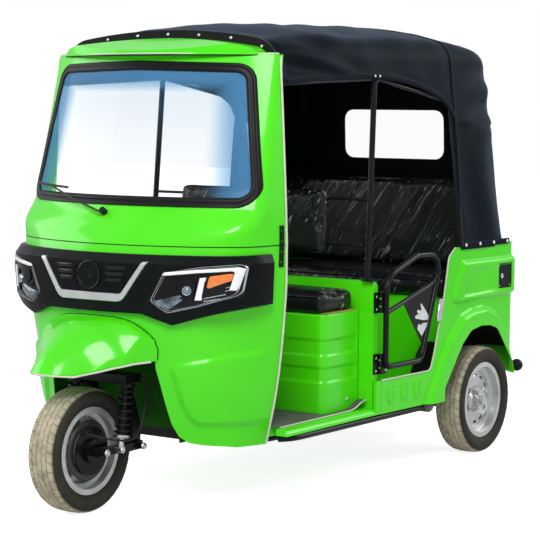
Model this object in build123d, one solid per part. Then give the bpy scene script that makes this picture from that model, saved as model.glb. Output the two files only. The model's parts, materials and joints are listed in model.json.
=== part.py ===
"""Three-wheeled passenger tricycle: a steered front wheel, a pressed cowl, a bench cab and a vinyl canopy.

Millimetres.  +Z is up, -Y is the front, +X is the vehicle's left.  Every y below is
measured rearward from the front axle; save() moves the whole vehicle so that its
origin is the middle of the ground it covers.
"""
from build123d import *
from math import atan2, cos, degrees, radians, sin, sqrt, tan
import os

os.makedirs("parts", exist_ok=True)

# ------------------------------------------------------------------ driving dimensions
WHEELBASE = 2007
TRACK = 1150
TYRE_R = 236
TYRE_W = 135
BEAD_R = 152            # where the tyre sits on the rim
FLANGE_R = 166
RIM_W = 104
SHEET = 4               # pressed steel panels
VINYL = 4
GLASS = 5
FIT = 0.5               # between seated pieces
SOFT_GAP = 0.3          # between a soft or curved piece and its seat
RUN = 6                 # between pieces that move past each other

FRONT_END = -TYRE_R     # the tyre is the foremost point
REAR_END = WHEELBASE + 553      # the bumper is the rearmost

STEER_RAKE = 20         # degrees, the head leans back
STEER_Y, STEER_Z = 125, 490     # a point of the steering axis, at the fork crown

COWL_BACK = 520
COWL_SEAM = 1005        # the lower cowl meets the upper one
COWL_TOP = 1720
COWL_LIP = 14           # width of the rolled rear edge
FLOOR_Z = 300
SILL_Z = 265
BULKHEAD_Y = 1150
BULKHEAD_DEEP = 34
BULKHEAD_TOP = 820
BULKHEAD_HALF = 578
BODY_HALF = 598         # the rear body's half width at the bulkhead
BODY_HALF_BACK = 634    # and at its back
BODY_TOP = 925
BODY_BACK = WHEELBASE + 300
BODY_CORNER_R = 80
CANOPY_FRONT = 545
BOW_YS = (1200, WHEELBASE - 207)
BOW_D = 22
SEAT_TOP = 700
SEAT_FRONT = 900
CAB_HALF = 510
REAR_SEAT_Y = WHEELBASE - 217
DECK_FRONT = WHEELBASE + 190
FRAME_X = 300
FRAME_W = 50
FRAME_Z = 215
FRAME_TOP = 275
AXLE_Z = TYRE_R
OUTSIDE = 900           # cutting blocks reach this far sideways

SHIFT = Pos(0, -(FRONT_END + REAR_END) / 2, 0)


def save(name, shape):
    """Write one node, moved to the vehicle's own origin."""
    export_step(SHIFT * shape, f"parts/{name}.step")


# ------------------------------------------------------------------ small helpers
def block(x0, x1, y0, y1, z0, z1):
    return Pos((x0 + x1) / 2, (y0 + y1) / 2, (z0 + z1) / 2) * Box(x1 - x0, y1 - y0, z1 - z0)


def outline(points, radius=0):
    line = FilletPolyline(*points, radius=radius, close=True) if radius else Polyline(*points, close=True)
    return make_face(line)


def side_prism(points, x0, x1, radius=0):
    """A (y, z) outline carried along x."""
    return extrude(Plane.YZ.offset(x0) * outline(points, radius), x1 - x0)


def front_prism(points, y0, y1, radius=0):
    """An (x, z) outline carried along y."""
    return extrude(Plane.XZ.offset(-y1) * outline(points, radius), y1 - y0)


def plan_prism(points, z0, z1, radius=0):
    """An (x, y) outline carried along z."""
    return extrude(Plane.XY.offset(z0) * outline(points, radius), z1 - z0)


def mirrored(points):
    """A half outline, given from the bottom centre outward and up, made whole."""
    return list(points) + [(-u, v) for u, v in reversed(points) if u]


def rod(start, end, r):
    way = Vector(*end) - Vector(*start)
    return extrude(Plane(origin=start, z_dir=way) * Circle(r), way.length)


def pipe(points, r, bend=0, close=False):
    """A round bar along straight runs joined by arcs."""
    path = FilletPolyline(*points, radius=bend, close=close) if bend else Polyline(*points, close=close)
    return sweep(Plane(origin=path @ 0, z_dir=path % 0) * Circle(r), path=path)


def flip(shape):
    """The same piece on the other side of the vehicle."""
    return mirror(shape, about=Plane.YZ)


def group(*shapes):
    """Separate solids that share one node."""
    return Compound(children=[solid for shape in shapes for solid in shape.solids()])


def both(shape):
    return group(shape, flip(shape))


def x_disc(x0, x1, y, z, r):
    """A round disc about an axis along x."""
    return extrude(Plane.YZ.offset(x0) * Pos(y, z) * Circle(r), x1 - x0)


# ------------------------------------------------------------------ the cowl's skin
# columns: z, y of the nose, front radius, corner radius, half width and the side's lean in
# degrees at the cowl's rear edge, radius of the side
COWL_ROWS = (
    (235, 134, 520, 260, 489, 16, 1000),
    (450, 97, 620, 260, 535, 16, 1000),
    (600, 80, 660, 260, 556, 16, 1000),
    (730, 70, 780, 250, 568, 15, 1000),
    (880, 78, 850, 240, 577, 10, 1400),
    (COWL_SEAM, 105, 900, 200, 577, 5, 3000),
    (1075, 152, 1120, 120, 575, 3, 3000),
    (1150, 200, 995, 75, 572, 2, 3000),
    (1430, 277, 980, 55, 558, 2, 3000),
    (COWL_TOP, 352, 1000, 40, 542, 2, 3000),
)
BAND_ROWS = (
    (700, 66, 900, 260, 568, 14, 1200),
    (728, 62, 1000, 280, 572, 10, 1600),
    (790, 54, 1400, 340, 582, 1, 3000),
    (945, 56, 1400, 330, 588, 1, 3000),
    (980, 92, 1000, 220, 580, 4, 3000),
)
SECTION_BACK = 640      # sections run past the cowl's rear edge, which is cut later


def nose_section(row, grow, back):
    """A U in plan, grown by an offset: a bowed front, two round corners and two bowed sides."""
    z, nose, front_r, corner_r, half, lean, side_r = row
    lean = radians(lean)
    side_x, side_y = half - side_r * cos(lean), COWL_BACK + side_r * sin(lean)
    nose, front_r, corner_r, side_r = nose - grow, front_r + grow, corner_r + grow, side_r + grow
    centre_y = nose + front_r
    # the corner's centre lies inside both the front's circle and the side's circle
    reach_f, reach_s = front_r - corner_r, side_r - corner_r
    dx, dy = side_x, side_y - centre_y
    gap = sqrt(dx * dx + dy * dy)
    along = (reach_f ** 2 - reach_s ** 2 + gap ** 2) / (2 * gap)
    off = sqrt(reach_f ** 2 - along ** 2)
    meets = [((along * dx - k * off * dy) / gap, centre_y + (along * dy + k * off * dx) / gap) for k in (1, -1)]
    cx, cy = min(meets, key=lambda point: point[1])

    def toward(x0, y0, r, *targets):
        """The circle's point midway round between the targets."""
        turn = sum(atan2(y - y0, x - x0) for x, y in targets) / len(targets)
        return x0 + r * cos(turn), y0 + r * sin(turn)
    front = (front_r / reach_f * cx, centre_y + front_r / reach_f * (cy - centre_y))
    side = (side_x + side_r / reach_s * (cx - side_x), side_y + side_r / reach_s * (cy - side_y))
    end = (side_x + sqrt(side_r ** 2 - (back - side_y) ** 2), back)
    corner = toward(cx, cy, corner_r, front, side)
    flank = toward(side_x, side_y, side_r, side, end)
    half_line = [end, flank, side, corner, front]
    other = [(-x, y) for x, y in half_line]
    edges = [
        ThreePointArc(other[0], other[1], other[2]),
        ThreePointArc(other[2], other[3], other[4]),
        ThreePointArc(other[4], (0, nose), front),
        ThreePointArc(front, corner, side),
        ThreePointArc(side, flank, end),
        Line(end, other[0]),
    ]
    return Pos(0, 0, z) * make_face(edges)


def skin(rows, grow, back=SECTION_BACK):
    """The solid inside a stack of nose sections."""
    return loft([nose_section(row, grow, back) for row in rows], ruled=True)


def shell(rows, outer, inner, back=SECTION_BACK):
    """The wall between two offsets of the same skin."""
    return skin(rows, outer, back) - skin(rows, inner, back)


def nose_y(x, z, grow=0):
    """The y of the cowl's bowed front at a height and a distance from the middle."""
    low, high = [(a, b) for a, b in zip(COWL_ROWS, COWL_ROWS[1:]) if a[0] <= z <= b[0]][0]
    share = (z - low[0]) / (high[0] - low[0])
    nose, r = low[1] + share * (high[1] - low[1]) - grow, low[2] + share * (high[2] - low[2]) + grow
    return nose + r - sqrt(r * r - x * x)


LOWER_ROWS = [row for row in COWL_ROWS if row[0] <= COWL_SEAM]
UPPER_ROWS = [row for row in COWL_ROWS if row[0] >= COWL_SEAM]
BEHIND_COWL = block(-700, 700, COWL_BACK, 800, 0, 2000)
WELL_HALF = 300
WELL_BACK = 455
WELL_TOP = 640
WELL_MOUTH = mirrored([(330, 200), (322, 265), (303, 335), (283, 410), (268, 490), (272, WELL_TOP - 20)])


def cowl_edge(rows):
    """The rolled edge inside the cowl's rear opening."""
    ring = block(-700, 700, COWL_BACK - COWL_LIP, COWL_BACK, rows[0][0], rows[-1][0])
    return shell(rows, -SHEET, -SHEET - 18) & ring


def cowl_lower():
    wall = shell(LOWER_ROWS, 0, -SHEET) - BEHIND_COWL
    wall -= front_prism(WELL_MOUTH, -100, 300)
    return wall + cowl_edge(LOWER_ROWS)


# the windshield's outlines, (x, z), from the bottom outward
PANE = mirrored([(546, 1166), (456, 1668), (0, 1680)])
SEAL_OUT = mirrored([(566, 1150), (474, 1684), (0, 1696)])
SEAL_IN = mirrored([(526, 1182), (440, 1652), (0, 1664)])
PANE_R = 62
SEAL_PROUD = 8


def pane_prism(points, radius):
    return front_prism(points, 100, 500, radius)


def cowl_upper():
    wall = shell(UPPER_ROWS, 0, -SHEET) - BEHIND_COWL
    wall -= pane_prism(PANE, PANE_R)
    return wall + cowl_edge(UPPER_ROWS)


def windshield_glass():
    return shell(UPPER_ROWS, 0, -GLASS) & pane_prism(SEAL_IN, PANE_R - 16)


def windshield_seal():
    """The rubber that holds the pane in the cowl's opening."""
    inner = pane_prism(SEAL_IN, PANE_R - 16)
    proud = shell(UPPER_ROWS, SEAL_PROUD, 0) & (pane_prism(SEAL_OUT, PANE_R + 16) - inner)
    grip = shell(UPPER_ROWS, 0, -12) & (pane_prism(PANE, PANE_R) - inner)
    return proud + grip


WIPER_PIVOT = (-30, 1120)           # x, z
WIPER_BLADE = ((-500, 1213), (-385, 1209), (-270, 1206))
BLADE_R = 5


def on_front(x, z, lift):
    return x, nose_y(x, z) - lift, z


def wiper():
    """Pivot boss, bent arm and blade, lying on the windshield."""
    lean = 30
    foot = Pos(*on_front(*WIPER_PIVOT, 0)) * Rot(90 - lean, 0, 0)
    boss = foot * (Pos(0, 0, 9) * Cylinder(13, 26)) - skin(UPPER_ROWS, SOFT_GAP)
    mid_x, mid_z = WIPER_BLADE[1]
    arm = pipe([on_front(*WIPER_PIVOT, 22), on_front(-213, 1166, 22), on_front(mid_x, mid_z, 15)], 4)
    blade = pipe([on_front(x, z, BLADE_R + 4) for x, z in WIPER_BLADE], BLADE_R)
    return boss + arm + blade


# ------------------------------------------------------------------ roof front
# columns of a hoop: y, crown height, crown radius, shoulder radius, half width at the base,
# base height, the sides' lean in degrees
FRONT_HOOP = (CANOPY_FRONT, 1819, 2700, 120, 553, 1590, 18)
FOOT = 20               # a hoop's sides run this far below its base


def hoop_section(row, grow):
    """An arched section across the vehicle: crown arc, shoulder arcs and leaning sides."""
    y, top, crown_r, r, half, base, lean = row
    lean = radians(lean)
    half += grow / cos(lean)
    top, crown_r, r = top + grow, crown_r + grow, r + grow
    crown_z = top - crown_r
    # the shoulder's centre runs along a line parallel to the side, one radius inside it
    px, pz = half - r * cos(lean), base - r * sin(lean)
    dx, dz = -sin(lean), cos(lean)
    reach = crown_r - r
    b = px * dx + (pz - crown_z) * dz
    run = sqrt(b * b - px ** 2 - (pz - crown_z) ** 2 + reach ** 2) - b
    cx, cz = px + run * dx, pz + run * dz
    side = (cx + r * cos(lean), cz + r * sin(lean))
    crown = (cx * crown_r / reach, crown_z + (cz - crown_z) * crown_r / reach)
    mid = (atan2(crown[1] - cz, crown[0] - cx) + lean) / 2
    shoulder = (cx + r * cos(mid), cz + r * sin(mid))
    toe = (half + FOOT * tan(lean), base - FOOT)
    half_line = [toe, side, shoulder, crown]
    other = [(-x, z) for x, z in half_line]
    edges = [
        Line(other[0], other[1]),
        ThreePointArc(other[1], other[2], other[3]),
        ThreePointArc(other[3], (0, top), crown),
        ThreePointArc(crown, shoulder, side),
        Line(side, toe),
        Line(toe, other[0]),
    ]
    return Plane.XZ.offset(-y) * make_face(edges)


def hoop_bar(row, grow, y0, y1):
    """A hoop section carried straight along y."""
    return extrude(hoop_section((y0, *row[1:]), grow), y1 - y0, dir=(0, 1, 0))


VISOR_H = 8
VISOR_Y = 318           # the lip's foremost point
TRIM_W = 32             # width of the hoop strip at the canopy's front edge
TRIM_T = 8
RIVETS = ((0, 1803), (151, 1799), (304, 1786), (448, 1752))     # x, z


def header():
    """The pressed roof front: a gutter lip over the windshield and a dome behind it."""
    base_z = COWL_TOP + VISOR_H
    tip_x, tip_y = 534, COWL_BACK - 2
    lip = make_face([ThreePointArc((-tip_x, tip_y), (0, VISOR_Y), (tip_x, tip_y)),
                     Line((tip_x, tip_y), (-tip_x, tip_y))])
    top_row = COWL_ROWS[-1]
    lip = extrude(Pos(0, 0, COWL_TOP) * lip, VISOR_H)
    lip -= extrude(nose_section(top_row, -30, SECTION_BACK), VISOR_H)

    def dome(shrink):
        slope = side_prism([(VISOR_Y + 7 + shrink, base_z), (CANOPY_FRONT - SOFT_GAP, 1800 - shrink),
                            (CANOPY_FRONT - SOFT_GAP, base_z)], -600, 600)
        arch = hoop_bar(FRONT_HOOP, -TRIM_W - shrink, 300, CANOPY_FRONT)
        plan = extrude(Pos(0, 0, VISOR_H) * nose_section(top_row, -shrink, CANOPY_FRONT), 120)
        return slope & arch & plan
    return lip + (dome(0) - dome(SHEET))


def canopy_trim():
    """The black hoop strip at the canopy's front edge, with its row of rivets."""
    y1 = CANOPY_FRONT - SOFT_GAP
    strip = hoop_bar(FRONT_HOOP, 1, y1 - TRIM_T, y1) - hoop_bar(FRONT_HOOP, -TRIM_W, y1 - TRIM_T - 1, y1 + 1)
    strip -= block(-700, 700, 0, 800, 0, COWL_TOP + VISOR_H)
    for x, z in RIVETS:
        for side in {x, -x}:
            strip += Pos(side, y1 - TRIM_T - 1, z) * Rot(90, 0, 0) * Cylinder(6, 4)
    return strip


# ------------------------------------------------------------------ the black nose band
BAND_BACK = 430
BAND_TOP = 975
BAND_EDGE = mirrored([(0, 757), (226, 757), (337, 718), (450, 755), (600, 795), (600, BAND_TOP), (0, BAND_TOP)])
LAMP_EDGE = [(258, 806), (318, 912), (450, 938), (566, 950), (552, 826), (430, 786), (322, 758)]
LAMP_SUNK = 2
STRIP_PROUD = 3
# outlines of the lamp's raised strips: day light, its short bar, indicator, two lower ribs
LAMP_STRIPS = (
    [(330, 906), (336, 896), (536, 922), (528, 850), (540, 848), (554, 938)],
    [(424, 884), (436, 886), (424, 806), (412, 804)],
    [(452, 884), (520, 894), (512, 838), (442, 824)],
    [(300, 800), (400, 822), (400, 828), (300, 808)],
    [(316, 830), (400, 846), (400, 852), (316, 838)],
)
PROJECTOR = (350, 868, 24)          # x, z, r
TRIM_PROUD = 8
U_OUT = mirrored([(148, 807), (254, 946)])
U_IN = mirrored([(144, 826), (277, 1000)])
U_R = 20
DISC_Z, DISC_R = 893, 54
SLAT_ZS = (864, 893, 922)
SLAT_XS = (64, 162)


def band_skin(outer, inner):
    return shell(BAND_ROWS, outer, inner) - block(-700, 700, BAND_BACK, 800, 0, 2000)


def band_body(grow):
    """What the band's skin encloses outside the cowl."""
    return skin(BAND_ROWS, grow) - skin(LOWER_ROWS, 0) - block(-700, 700, BAND_BACK, 800, 0, 2000)


def fascia_band():
    strip = band_body(0) & front_prism(BAND_EDGE, -60, BAND_BACK)
    for side in (1, -1):
        strip -= front_prism([(side * x, z) for x, z in LAMP_EDGE], -60, 500)
    for z in SLAT_ZS:
        slat = block(*SLAT_XS, -60, 300, z - 5, z + 5)
        strip += band_skin(4, 0) & slat
        strip += band_skin(4, 0) & flip(slat)
    return strip


def headlamp():
    """The left lamp: a housing with light strips, an indicator and a round projector."""
    body = band_body(-LAMP_SUNK) & front_prism(LAMP_EDGE, -60, 500)
    proud = band_skin(STRIP_PROUD, -LAMP_SUNK)
    for points in LAMP_STRIPS:
        body += proud & front_prism(points, -60, 500)
    x, z, r = PROJECTOR
    return body + (proud & (Pos(x, 0, z) * Rot(90, 0, 0) * Cylinder(r, 900)))


def grille_trim():
    """The bright U and the blank disc inside it."""
    lift = band_skin(TRIM_PROUD, 0)
    u = lift & (front_prism(U_OUT, -60, 400, U_R) - front_prism(U_IN, -70, 410, U_R))
    disc = lift & (Pos(0, 0, DISC_Z) * Rot(90, 0, 0) * Cylinder(DISC_R, 900))
    return group(u, disc)


# ------------------------------------------------------------------ front fender and wheel well
FENDER_TIP = -300       # where the beak's straight sides would meet
FENDER_TIP_R = 90
FENDER_SPREAD = 34.6    # degrees between a side and the vehicle's centre line
# columns: y, height of the ridge, half width, height there
FENDER_ROWS = (
    (-240, 538, 50, 520),
    (-195, 600, 80, 540),
    (-106, 670, 140, 548),
    (-4, 726, 208, 601),
    (80, 738, 270, 648),
    (140, 744, 314, 668),
)
FENDER_RIM = [(-300, 551), (-226, 545), (-155, 537), (-77, 552), (-25, 564), (40, 574), (160, 580)]


def fender_form(shrink):
    """The beak's solid form: arched sections inside a pointed plan."""
    sections = []
    for y, top, half, low in FENDER_ROWS:
        half, top, low = half - shrink / 2, top - shrink, low - shrink
        arch = make_face([ThreePointArc((-half, low), (0, top), (half, low)), Line((half, low), (half, 500)),
                          Line((half, 500), (-half, 500)), Line((-half, 500), (-half, low))])
        sections.append(Plane.XZ.offset(-y) * arch)
    spread = radians(FENDER_SPREAD)
    tip = FENDER_TIP + shrink / sin(spread)
    back = 400
    half = (back - tip) * tan(spread)
    beak = extrude(make_face(FilletPolyline((-half, back), (0, tip), (half, back), radius=FENDER_TIP_R - shrink)
                             + Line((half, back), (-half, back))), 900)
    return loft(sections, ruled=True) & beak


def front_fender():
    below = side_prism([*FENDER_RIM, (160, 400), (-300, 400)], -400, 400)
    return fender_form(0) - fender_form(SHEET) - below - skin(LOWER_ROWS, 0)


def wheel_well():
    """The folded box behind the front wheel, open in front and below, and the wall beside it."""
    box = block(-WELL_HALF, WELL_HALF, 60, WELL_BACK, FLOOR_Z - 40, WELL_TOP)
    box -= block(-WELL_HALF + SHEET, WELL_HALF - SHEET, 0, WELL_BACK - SHEET, 0, WELL_TOP - SHEET)
    wall = block(-600, 600, WELL_BACK - SHEET, WELL_BACK, FLOOR_Z - SHEET, WELL_TOP)
    well = (box + wall) & skin(LOWER_ROWS, -SHEET - SOFT_GAP)
    return well - steering_bore(HEAD_R + FIT)


# ------------------------------------------------------------------ steering
HEAD_R = 33
HEAD_LOW, HEAD_HIGH = 70, 330        # along the steering axis, from the crown
COLUMN_R = 16
BAR_UP = 610
STEER = Pos(0, STEER_Y, STEER_Z) * Rot(-STEER_RAKE, 0, 0)


def steering_bore(r):
    return STEER * Pos(0, 0, 300) * Cylinder(r, 900)


def steer_point(up, x=0, fore=0):
    """A point of the steering assembly: up the axis, across, and ahead of the axis."""
    a = radians(STEER_RAKE)
    return (x, STEER_Y + up * sin(a) - fore * cos(a), STEER_Z + up * cos(a) + fore * sin(a))


ARM_X = 105
ARM_R = 12
ARM_PIVOT = (218, 232)          # y, z of the leading arms' rear pivot
PIN_R = 8
AXLE_R = 10
EYE_Y, EYE_Z = 88, 236          # the shock's lower eye
SHOCK_X = 122
SHOCK_TOP = (128, 500)
CROWN = (148, 36, 52, 4, 28)    # half width, ahead, behind, below, above the steering point


def crown():
    half, ahead, behind, below, above = CROWN
    return block(-half, half, STEER_Y - ahead, STEER_Y + behind, STEER_Z - below, STEER_Z + above)


def fork():
    """Column, crown and two box legs that curve down behind the wheel."""
    column = STEER * Pos(0, 0, BAR_UP / 2) * Cylinder(COLUMN_R, BAR_UP)
    collar = STEER * Pos(0, 0, HEAD_LOW / 2) * Cylinder(HEAD_R - 6, HEAD_LOW - 2 * FIT)
    leg = side_prism([(160, STEER_Z), (176, STEER_Z), (215, 400), (248, 300), (240, 214), (200, 214),
                      (196, 300), (176, 400), (140, STEER_Z)], ARM_X - 33, ARM_X - 10 - FIT)
    leg -= x_disc(0, 200, *ARM_PIVOT, PIN_R + FIT)
    return column + crown() + collar + leg + flip(leg)


PLATE_R = 92


def front_arms():
    """The leading arms, the axle, the brake's backing plate and the spacer opposite it."""
    py, pz = ARM_PIVOT
    arm = side_prism([(py + 22, 218), (py + 22, 250), (150, 246), (60, 252), (-16, 256),
                      (-26, 236), (-16, 218), (60, 220), (150, 216)], ARM_X - 10, ARM_X + 4)
    arm += x_disc(ARM_X - 10, ARM_X + 26, py, pz, ARM_R)
    arm += x_disc(ARM_X - 33, ARM_X, py, pz, PIN_R)
    arm += x_disc(ARM_X + 4, ARM_X + 20, 0, AXLE_Z, 15)
    axle = x_disc(-ARM_X + 10, ARM_X - 10, 0, AXLE_Z, AXLE_R)
    plate = x_disc(50, 56, 0, AXLE_Z, PLATE_R) + x_disc(56, 72, 0, AXLE_Z, 46) + x_disc(72, ARM_X - 10, 0, AXLE_Z, 20)
    spacer = x_disc(-ARM_X + 10, -57, 0, AXLE_Z, 20)
    return axle + arm + flip(arm) + plate + spacer


COILS = 7
COIL_R, WIRE_R = 27, 6.5
DAMPER_R = 21


def front_shock():
    """The left shock: eye, clevis, spring coils over a damper, and top cap."""
    (ty, tz), (by, bz) = SHOCK_TOP, (EYE_Y, EYE_Z)
    way = Vector(0, ty - by, tz - bz)
    line = Plane(origin=(SHOCK_X, by, bz), z_dir=way)
    long = way.length

    def stage(low, high, r):
        return line * (Pos(0, 0, (low + high) / 2) * Cylinder(r, high - low))
    body = x_disc(ARM_X + 4, ARM_X + 30, by, bz, 13)
    body += stage(8, 44, SHOCK_X - ARM_X - 4 - FIT) + stage(30, long - 30, DAMPER_R)
    body += stage(45, 55, 32) + stage(long - 31, long - 17, 34) + stage(long - 17, long, 12)
    pitch = (long - 100) / COILS
    coil = revolve(Plane.XZ * Pos(COIL_R, 0) * RegularPolygon(WIRE_R, 8), Axis.Z)
    for k in range(COILS):
        body += line * (Pos(0, 0, 66 + k * pitch) * coil)
    return body - crown()


HOSE_R = 3.5
HOSE_RUN = [(132, 170, 503), (137, 198, 503), (146, 218, 468), (150, 212, 410), (153, 188, 350), (160, 158, 300),
            (163, 108, 274), (156, 40, 279), (118, -4, 292), (88, -34, 303), (60, -42, 306)]


def bend_radii(points):
    """The largest arc that the two runs at each corner leave room for."""
    radii = []
    for a, b, c in zip(points, points[1:], points[2:]):
        first, second = Vector(*b) - Vector(*a), Vector(*c) - Vector(*b)
        radii.append(0.45 * min(first.length, second.length) / tan(radians(first.get_angle(second)) / 2))
    return radii


def brake_hose():
    """The hose from the crown down behind the shock to the backing plate, with its two fittings."""
    path = FilletPolyline(*HOSE_RUN, radius=bend_radii(HOSE_RUN))
    hose = sweep(Plane(origin=path @ 0, z_dir=path % 0) * Circle(HOSE_R), path=path)
    _, plate_y, plate_z = HOSE_RUN[-1]
    fitting = x_disc(56, 72, plate_y, plate_z, 7)
    return hose + fitting - crown()


GRIP_R = 17
BAR_HALF, BAR_SWEEP = 290, 100


def handlebar():
    """The bar, its clamp and two grips."""
    bar_y, bar_z = steer_point(BAR_UP, 0, -12)[1:]
    elbow, tip = (180, bar_y, bar_z), (BAR_HALF, bar_y + BAR_SWEEP, bar_z - 30)
    left = [tip, elbow]
    right = [(-x, y, z) for x, y, z in reversed(left)]
    bar = pipe([*left, *right], 11, 50)
    share = 0.2
    grip_start = tuple(a + (b - a) * share for a, b in zip(elbow, tip))
    grip = rod(grip_start, tip, GRIP_R)
    clamp = block(-30, 30, bar_y - 22, bar_y + 22, bar_z - 16, bar_z + 18)
    return bar + grip + flip(grip) + clamp - steering_bore(COLUMN_R)


# ------------------------------------------------------------------ wheels
RIM_HALF = RIM_W / 2
LIP_T = 6               # thickness of the rim's turned-out lip
BEAD_IN = 5             # the bead's foot stands this far inside the lip
WELL_DROP = 18          # depth of the rim's drop centre
WELL_W = 14


def tyre(x, y):
    """A tyre about an axle along x: a plain section that widens from bead to tread."""
    seat, half = RIM_HALF - LIP_T - BEAD_IN, TYRE_W / 2
    side = [(seat, BEAD_R), (half, TYRE_R)]
    other = [(-u, r) for u, r in reversed(side)]
    return Pos(x, y, TYRE_R) * revolve(outline(side + other), Axis.X)


SLOTS = 12
LOBES = 4


def rim(disc_out, hub_r):
    """A pressed rim about an axle along x; the disc's outer face stands at disc_out."""
    half, seat = RIM_HALF, BEAD_R - FIT
    outer = [(-half, FLANGE_R), (-half + LIP_T, FLANGE_R), (-half + LIP_T, seat), (-WELL_W - 6, seat),
             (-WELL_W, seat - WELL_DROP), (WELL_W, seat - WELL_DROP), (WELL_W + 6, seat), (half - LIP_T, seat),
             (half - LIP_T, FLANGE_R), (half, FLANGE_R)]
    inner = [(half, seat - 6), (WELL_W + 8, seat - 6), (WELL_W + 2, seat - 24), (-WELL_W - 2, seat - 24),
             (-WELL_W - 8, seat - 6), (-half, seat - 6)]
    hoop = revolve(outline(outer + inner), Axis.X)
    disc = revolve(outline([(disc_out - 4, seat - 16), (disc_out, seat - 16), (disc_out, 60), (disc_out + 14, 52),
                            (disc_out + 14, hub_r), (disc_out + 8, hub_r), (disc_out + 8, 50), (disc_out - 4, 58)]),
                   Axis.X)
    for k in range(SLOTS):
        disc -= Rot(k * 360 / SLOTS, 0, 0) * Pos(disc_out, 0, 104) * Box(20, 26, 12)
    return hoop + disc


DRUM_R = 88
STUB_GAP = 0.5


def rear_hub():
    """Star-lobed hub with four nuts outside the disc, and the drum behind it."""
    hub = x_disc(26, 44, 0, 0, 44) + x_disc(44, 58, 0, 0, 22) + x_disc(11, 26, 0, 0, 40)
    for k in range(LOBES):
        turn = Rot(45 + k * 360 / LOBES, 0, 0)
        hub += turn * Pos(32, 0, 45) * Rot(0, 90, 0) * Cylinder(19, 12)
        hub += turn * Pos(44, 0, 50) * Rot(0, 90, 0) * Cylinder(9, 14)
    return hub + x_disc(-48, 11, 0, 0, DRUM_R)


def rear_rim():
    return Pos(TRACK / 2, WHEELBASE, AXLE_Z) * (rim(12, 38) + rear_hub())


def front_rim():
    """The front rim with the drum and bearing boss that turn with it."""
    drum = x_disc(-40, 50 - 2 * FIT, 0, 0, DRUM_R - 4) + x_disc(-56, -40, 0, 0, 34)
    return Pos(0, 0, AXLE_Z) * (rim(-14, 40) + drum - x_disc(-80, 80, 0, 0, AXLE_R + FIT))


# ------------------------------------------------------------------ chassis
CROSS_YS = (490, 1130, 1530, WHEELBASE - 177, WHEELBASE + 220)
OUTRIGGERS = ((490, 448), (1130, 545), (1530, 556))     # y, half length
OUTRIGGER_Z = (236, 264)
RAIL_PATH = [(448, 515, 250), (470, 560, 250), (548, 1150, 250), (556, 1560, 250)]
RAIL_R = 14
NECK_Y, NECK_R = 515, 24
NECK_BEND = 665
ENGINE = (180, WHEELBASE - 127, WHEELBASE + 220, 150, 470)    # half width, front, back, bottom, top
SHAFT = ((184, WHEELBASE, AXLE_Z + 24), (482, WHEELBASE, AXLE_Z))
SHAFT_R = 12
TRAIL_X, TRAIL_Y, TRAIL_Z = 400, WHEELBASE - 307, 245      # the trailing arm and its pivot
DAMPER_Y, DAMPER_TOP = WHEELBASE - 32, 590
ARCH_R = 345            # the plate over the rear wheel


def chassis_frame():
    """Two box rails, cross members, the neck with the head tube, shock towers and side rails."""
    side = block(FRAME_X - FRAME_W / 2, FRAME_X + FRAME_W / 2, CROSS_YS[0], CROSS_YS[-1] + 40, FRAME_Z, FRAME_TOP)
    tower_x = FRAME_X + FRAME_W / 2
    side += block(FRAME_X, tower_x, DAMPER_Y - 25, DAMPER_Y + 25, FRAME_TOP, DAMPER_TOP + 30)
    side += block(FRAME_X, TRAIL_X + 24, DAMPER_Y - 25, DAMPER_Y + 25, DAMPER_TOP, DAMPER_TOP + 30)
    side += pipe(RAIL_PATH, RAIL_R, 100)
    side -= rod(*SHAFT, SHAFT_R + RUN)
    frame = side + flip(side)
    for y in CROSS_YS:
        frame += block(-FRAME_X, FRAME_X, y, y + FRAME_W, FRAME_Z, FRAME_TOP)
    for y, half in OUTRIGGERS:
        frame += block(-half, half, y, y + FRAME_W, *OUTRIGGER_Z)
    frame += rod(steer_point(HEAD_LOW), steer_point(HEAD_HIGH), HEAD_R)
    frame += pipe([steer_point(HEAD_HIGH - 50), (0, NECK_Y, NECK_BEND), (0, NECK_Y, FRAME_Z + 20)], NECK_R, 90)
    return frame - steering_bore(COLUMN_R + FIT)


def rear_axle():
    """Trailing arms, stub axles, shafts and shocks on both sides."""
    arm = pipe([(TRAIL_X, TRAIL_Y, TRAIL_Z), (TRAIL_X, WHEELBASE - 50, TRAIL_Z), (490, WHEELBASE, AXLE_Z)], 20, 30)
    arm += rod((FRAME_X + FRAME_W / 2, TRAIL_Y, TRAIL_Z), (TRAIL_X + 40, TRAIL_Y, TRAIL_Z), 16)
    arm += rod((478, WHEELBASE, AXLE_Z), (TRACK / 2 - 48 - STUB_GAP, WHEELBASE, AXLE_Z), 34)
    arm += rod(*SHAFT, SHAFT_R)
    arm += rod((TRAIL_X, DAMPER_Y, TRAIL_Z), (TRAIL_X, DAMPER_Y, DAMPER_TOP), 24)
    return both(arm)


def engine_block():
    half, front, back, low, high = ENGINE
    return block(-half, half, front, back, low, high)


MUFFLER = (CROSS_YS[-1] + 52, 150, 48)      # y, z, r


def muffler():
    """The silencer under the last cross member, its two straps and tail pipe."""
    y, z, r = MUFFLER
    can = rod((-120, y, z), (200, y, z), r) + rod((200, y, z), (270, y + 30, z - 10), 16)
    for x in (-80, 160):
        can += block(x - 10, x + 10, y - 17, y - 2, z + r - 6, FRAME_Z)
    return can


# ------------------------------------------------------------------ floor, bulkhead and cab
PAN_FRONT, PAN_NOSE, PAN_STEP = 470, 505, COWL_BACK + 2
REAR_PAN_Y = WHEELBASE - 307
SEAT_FACE_HALF = 440


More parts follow.
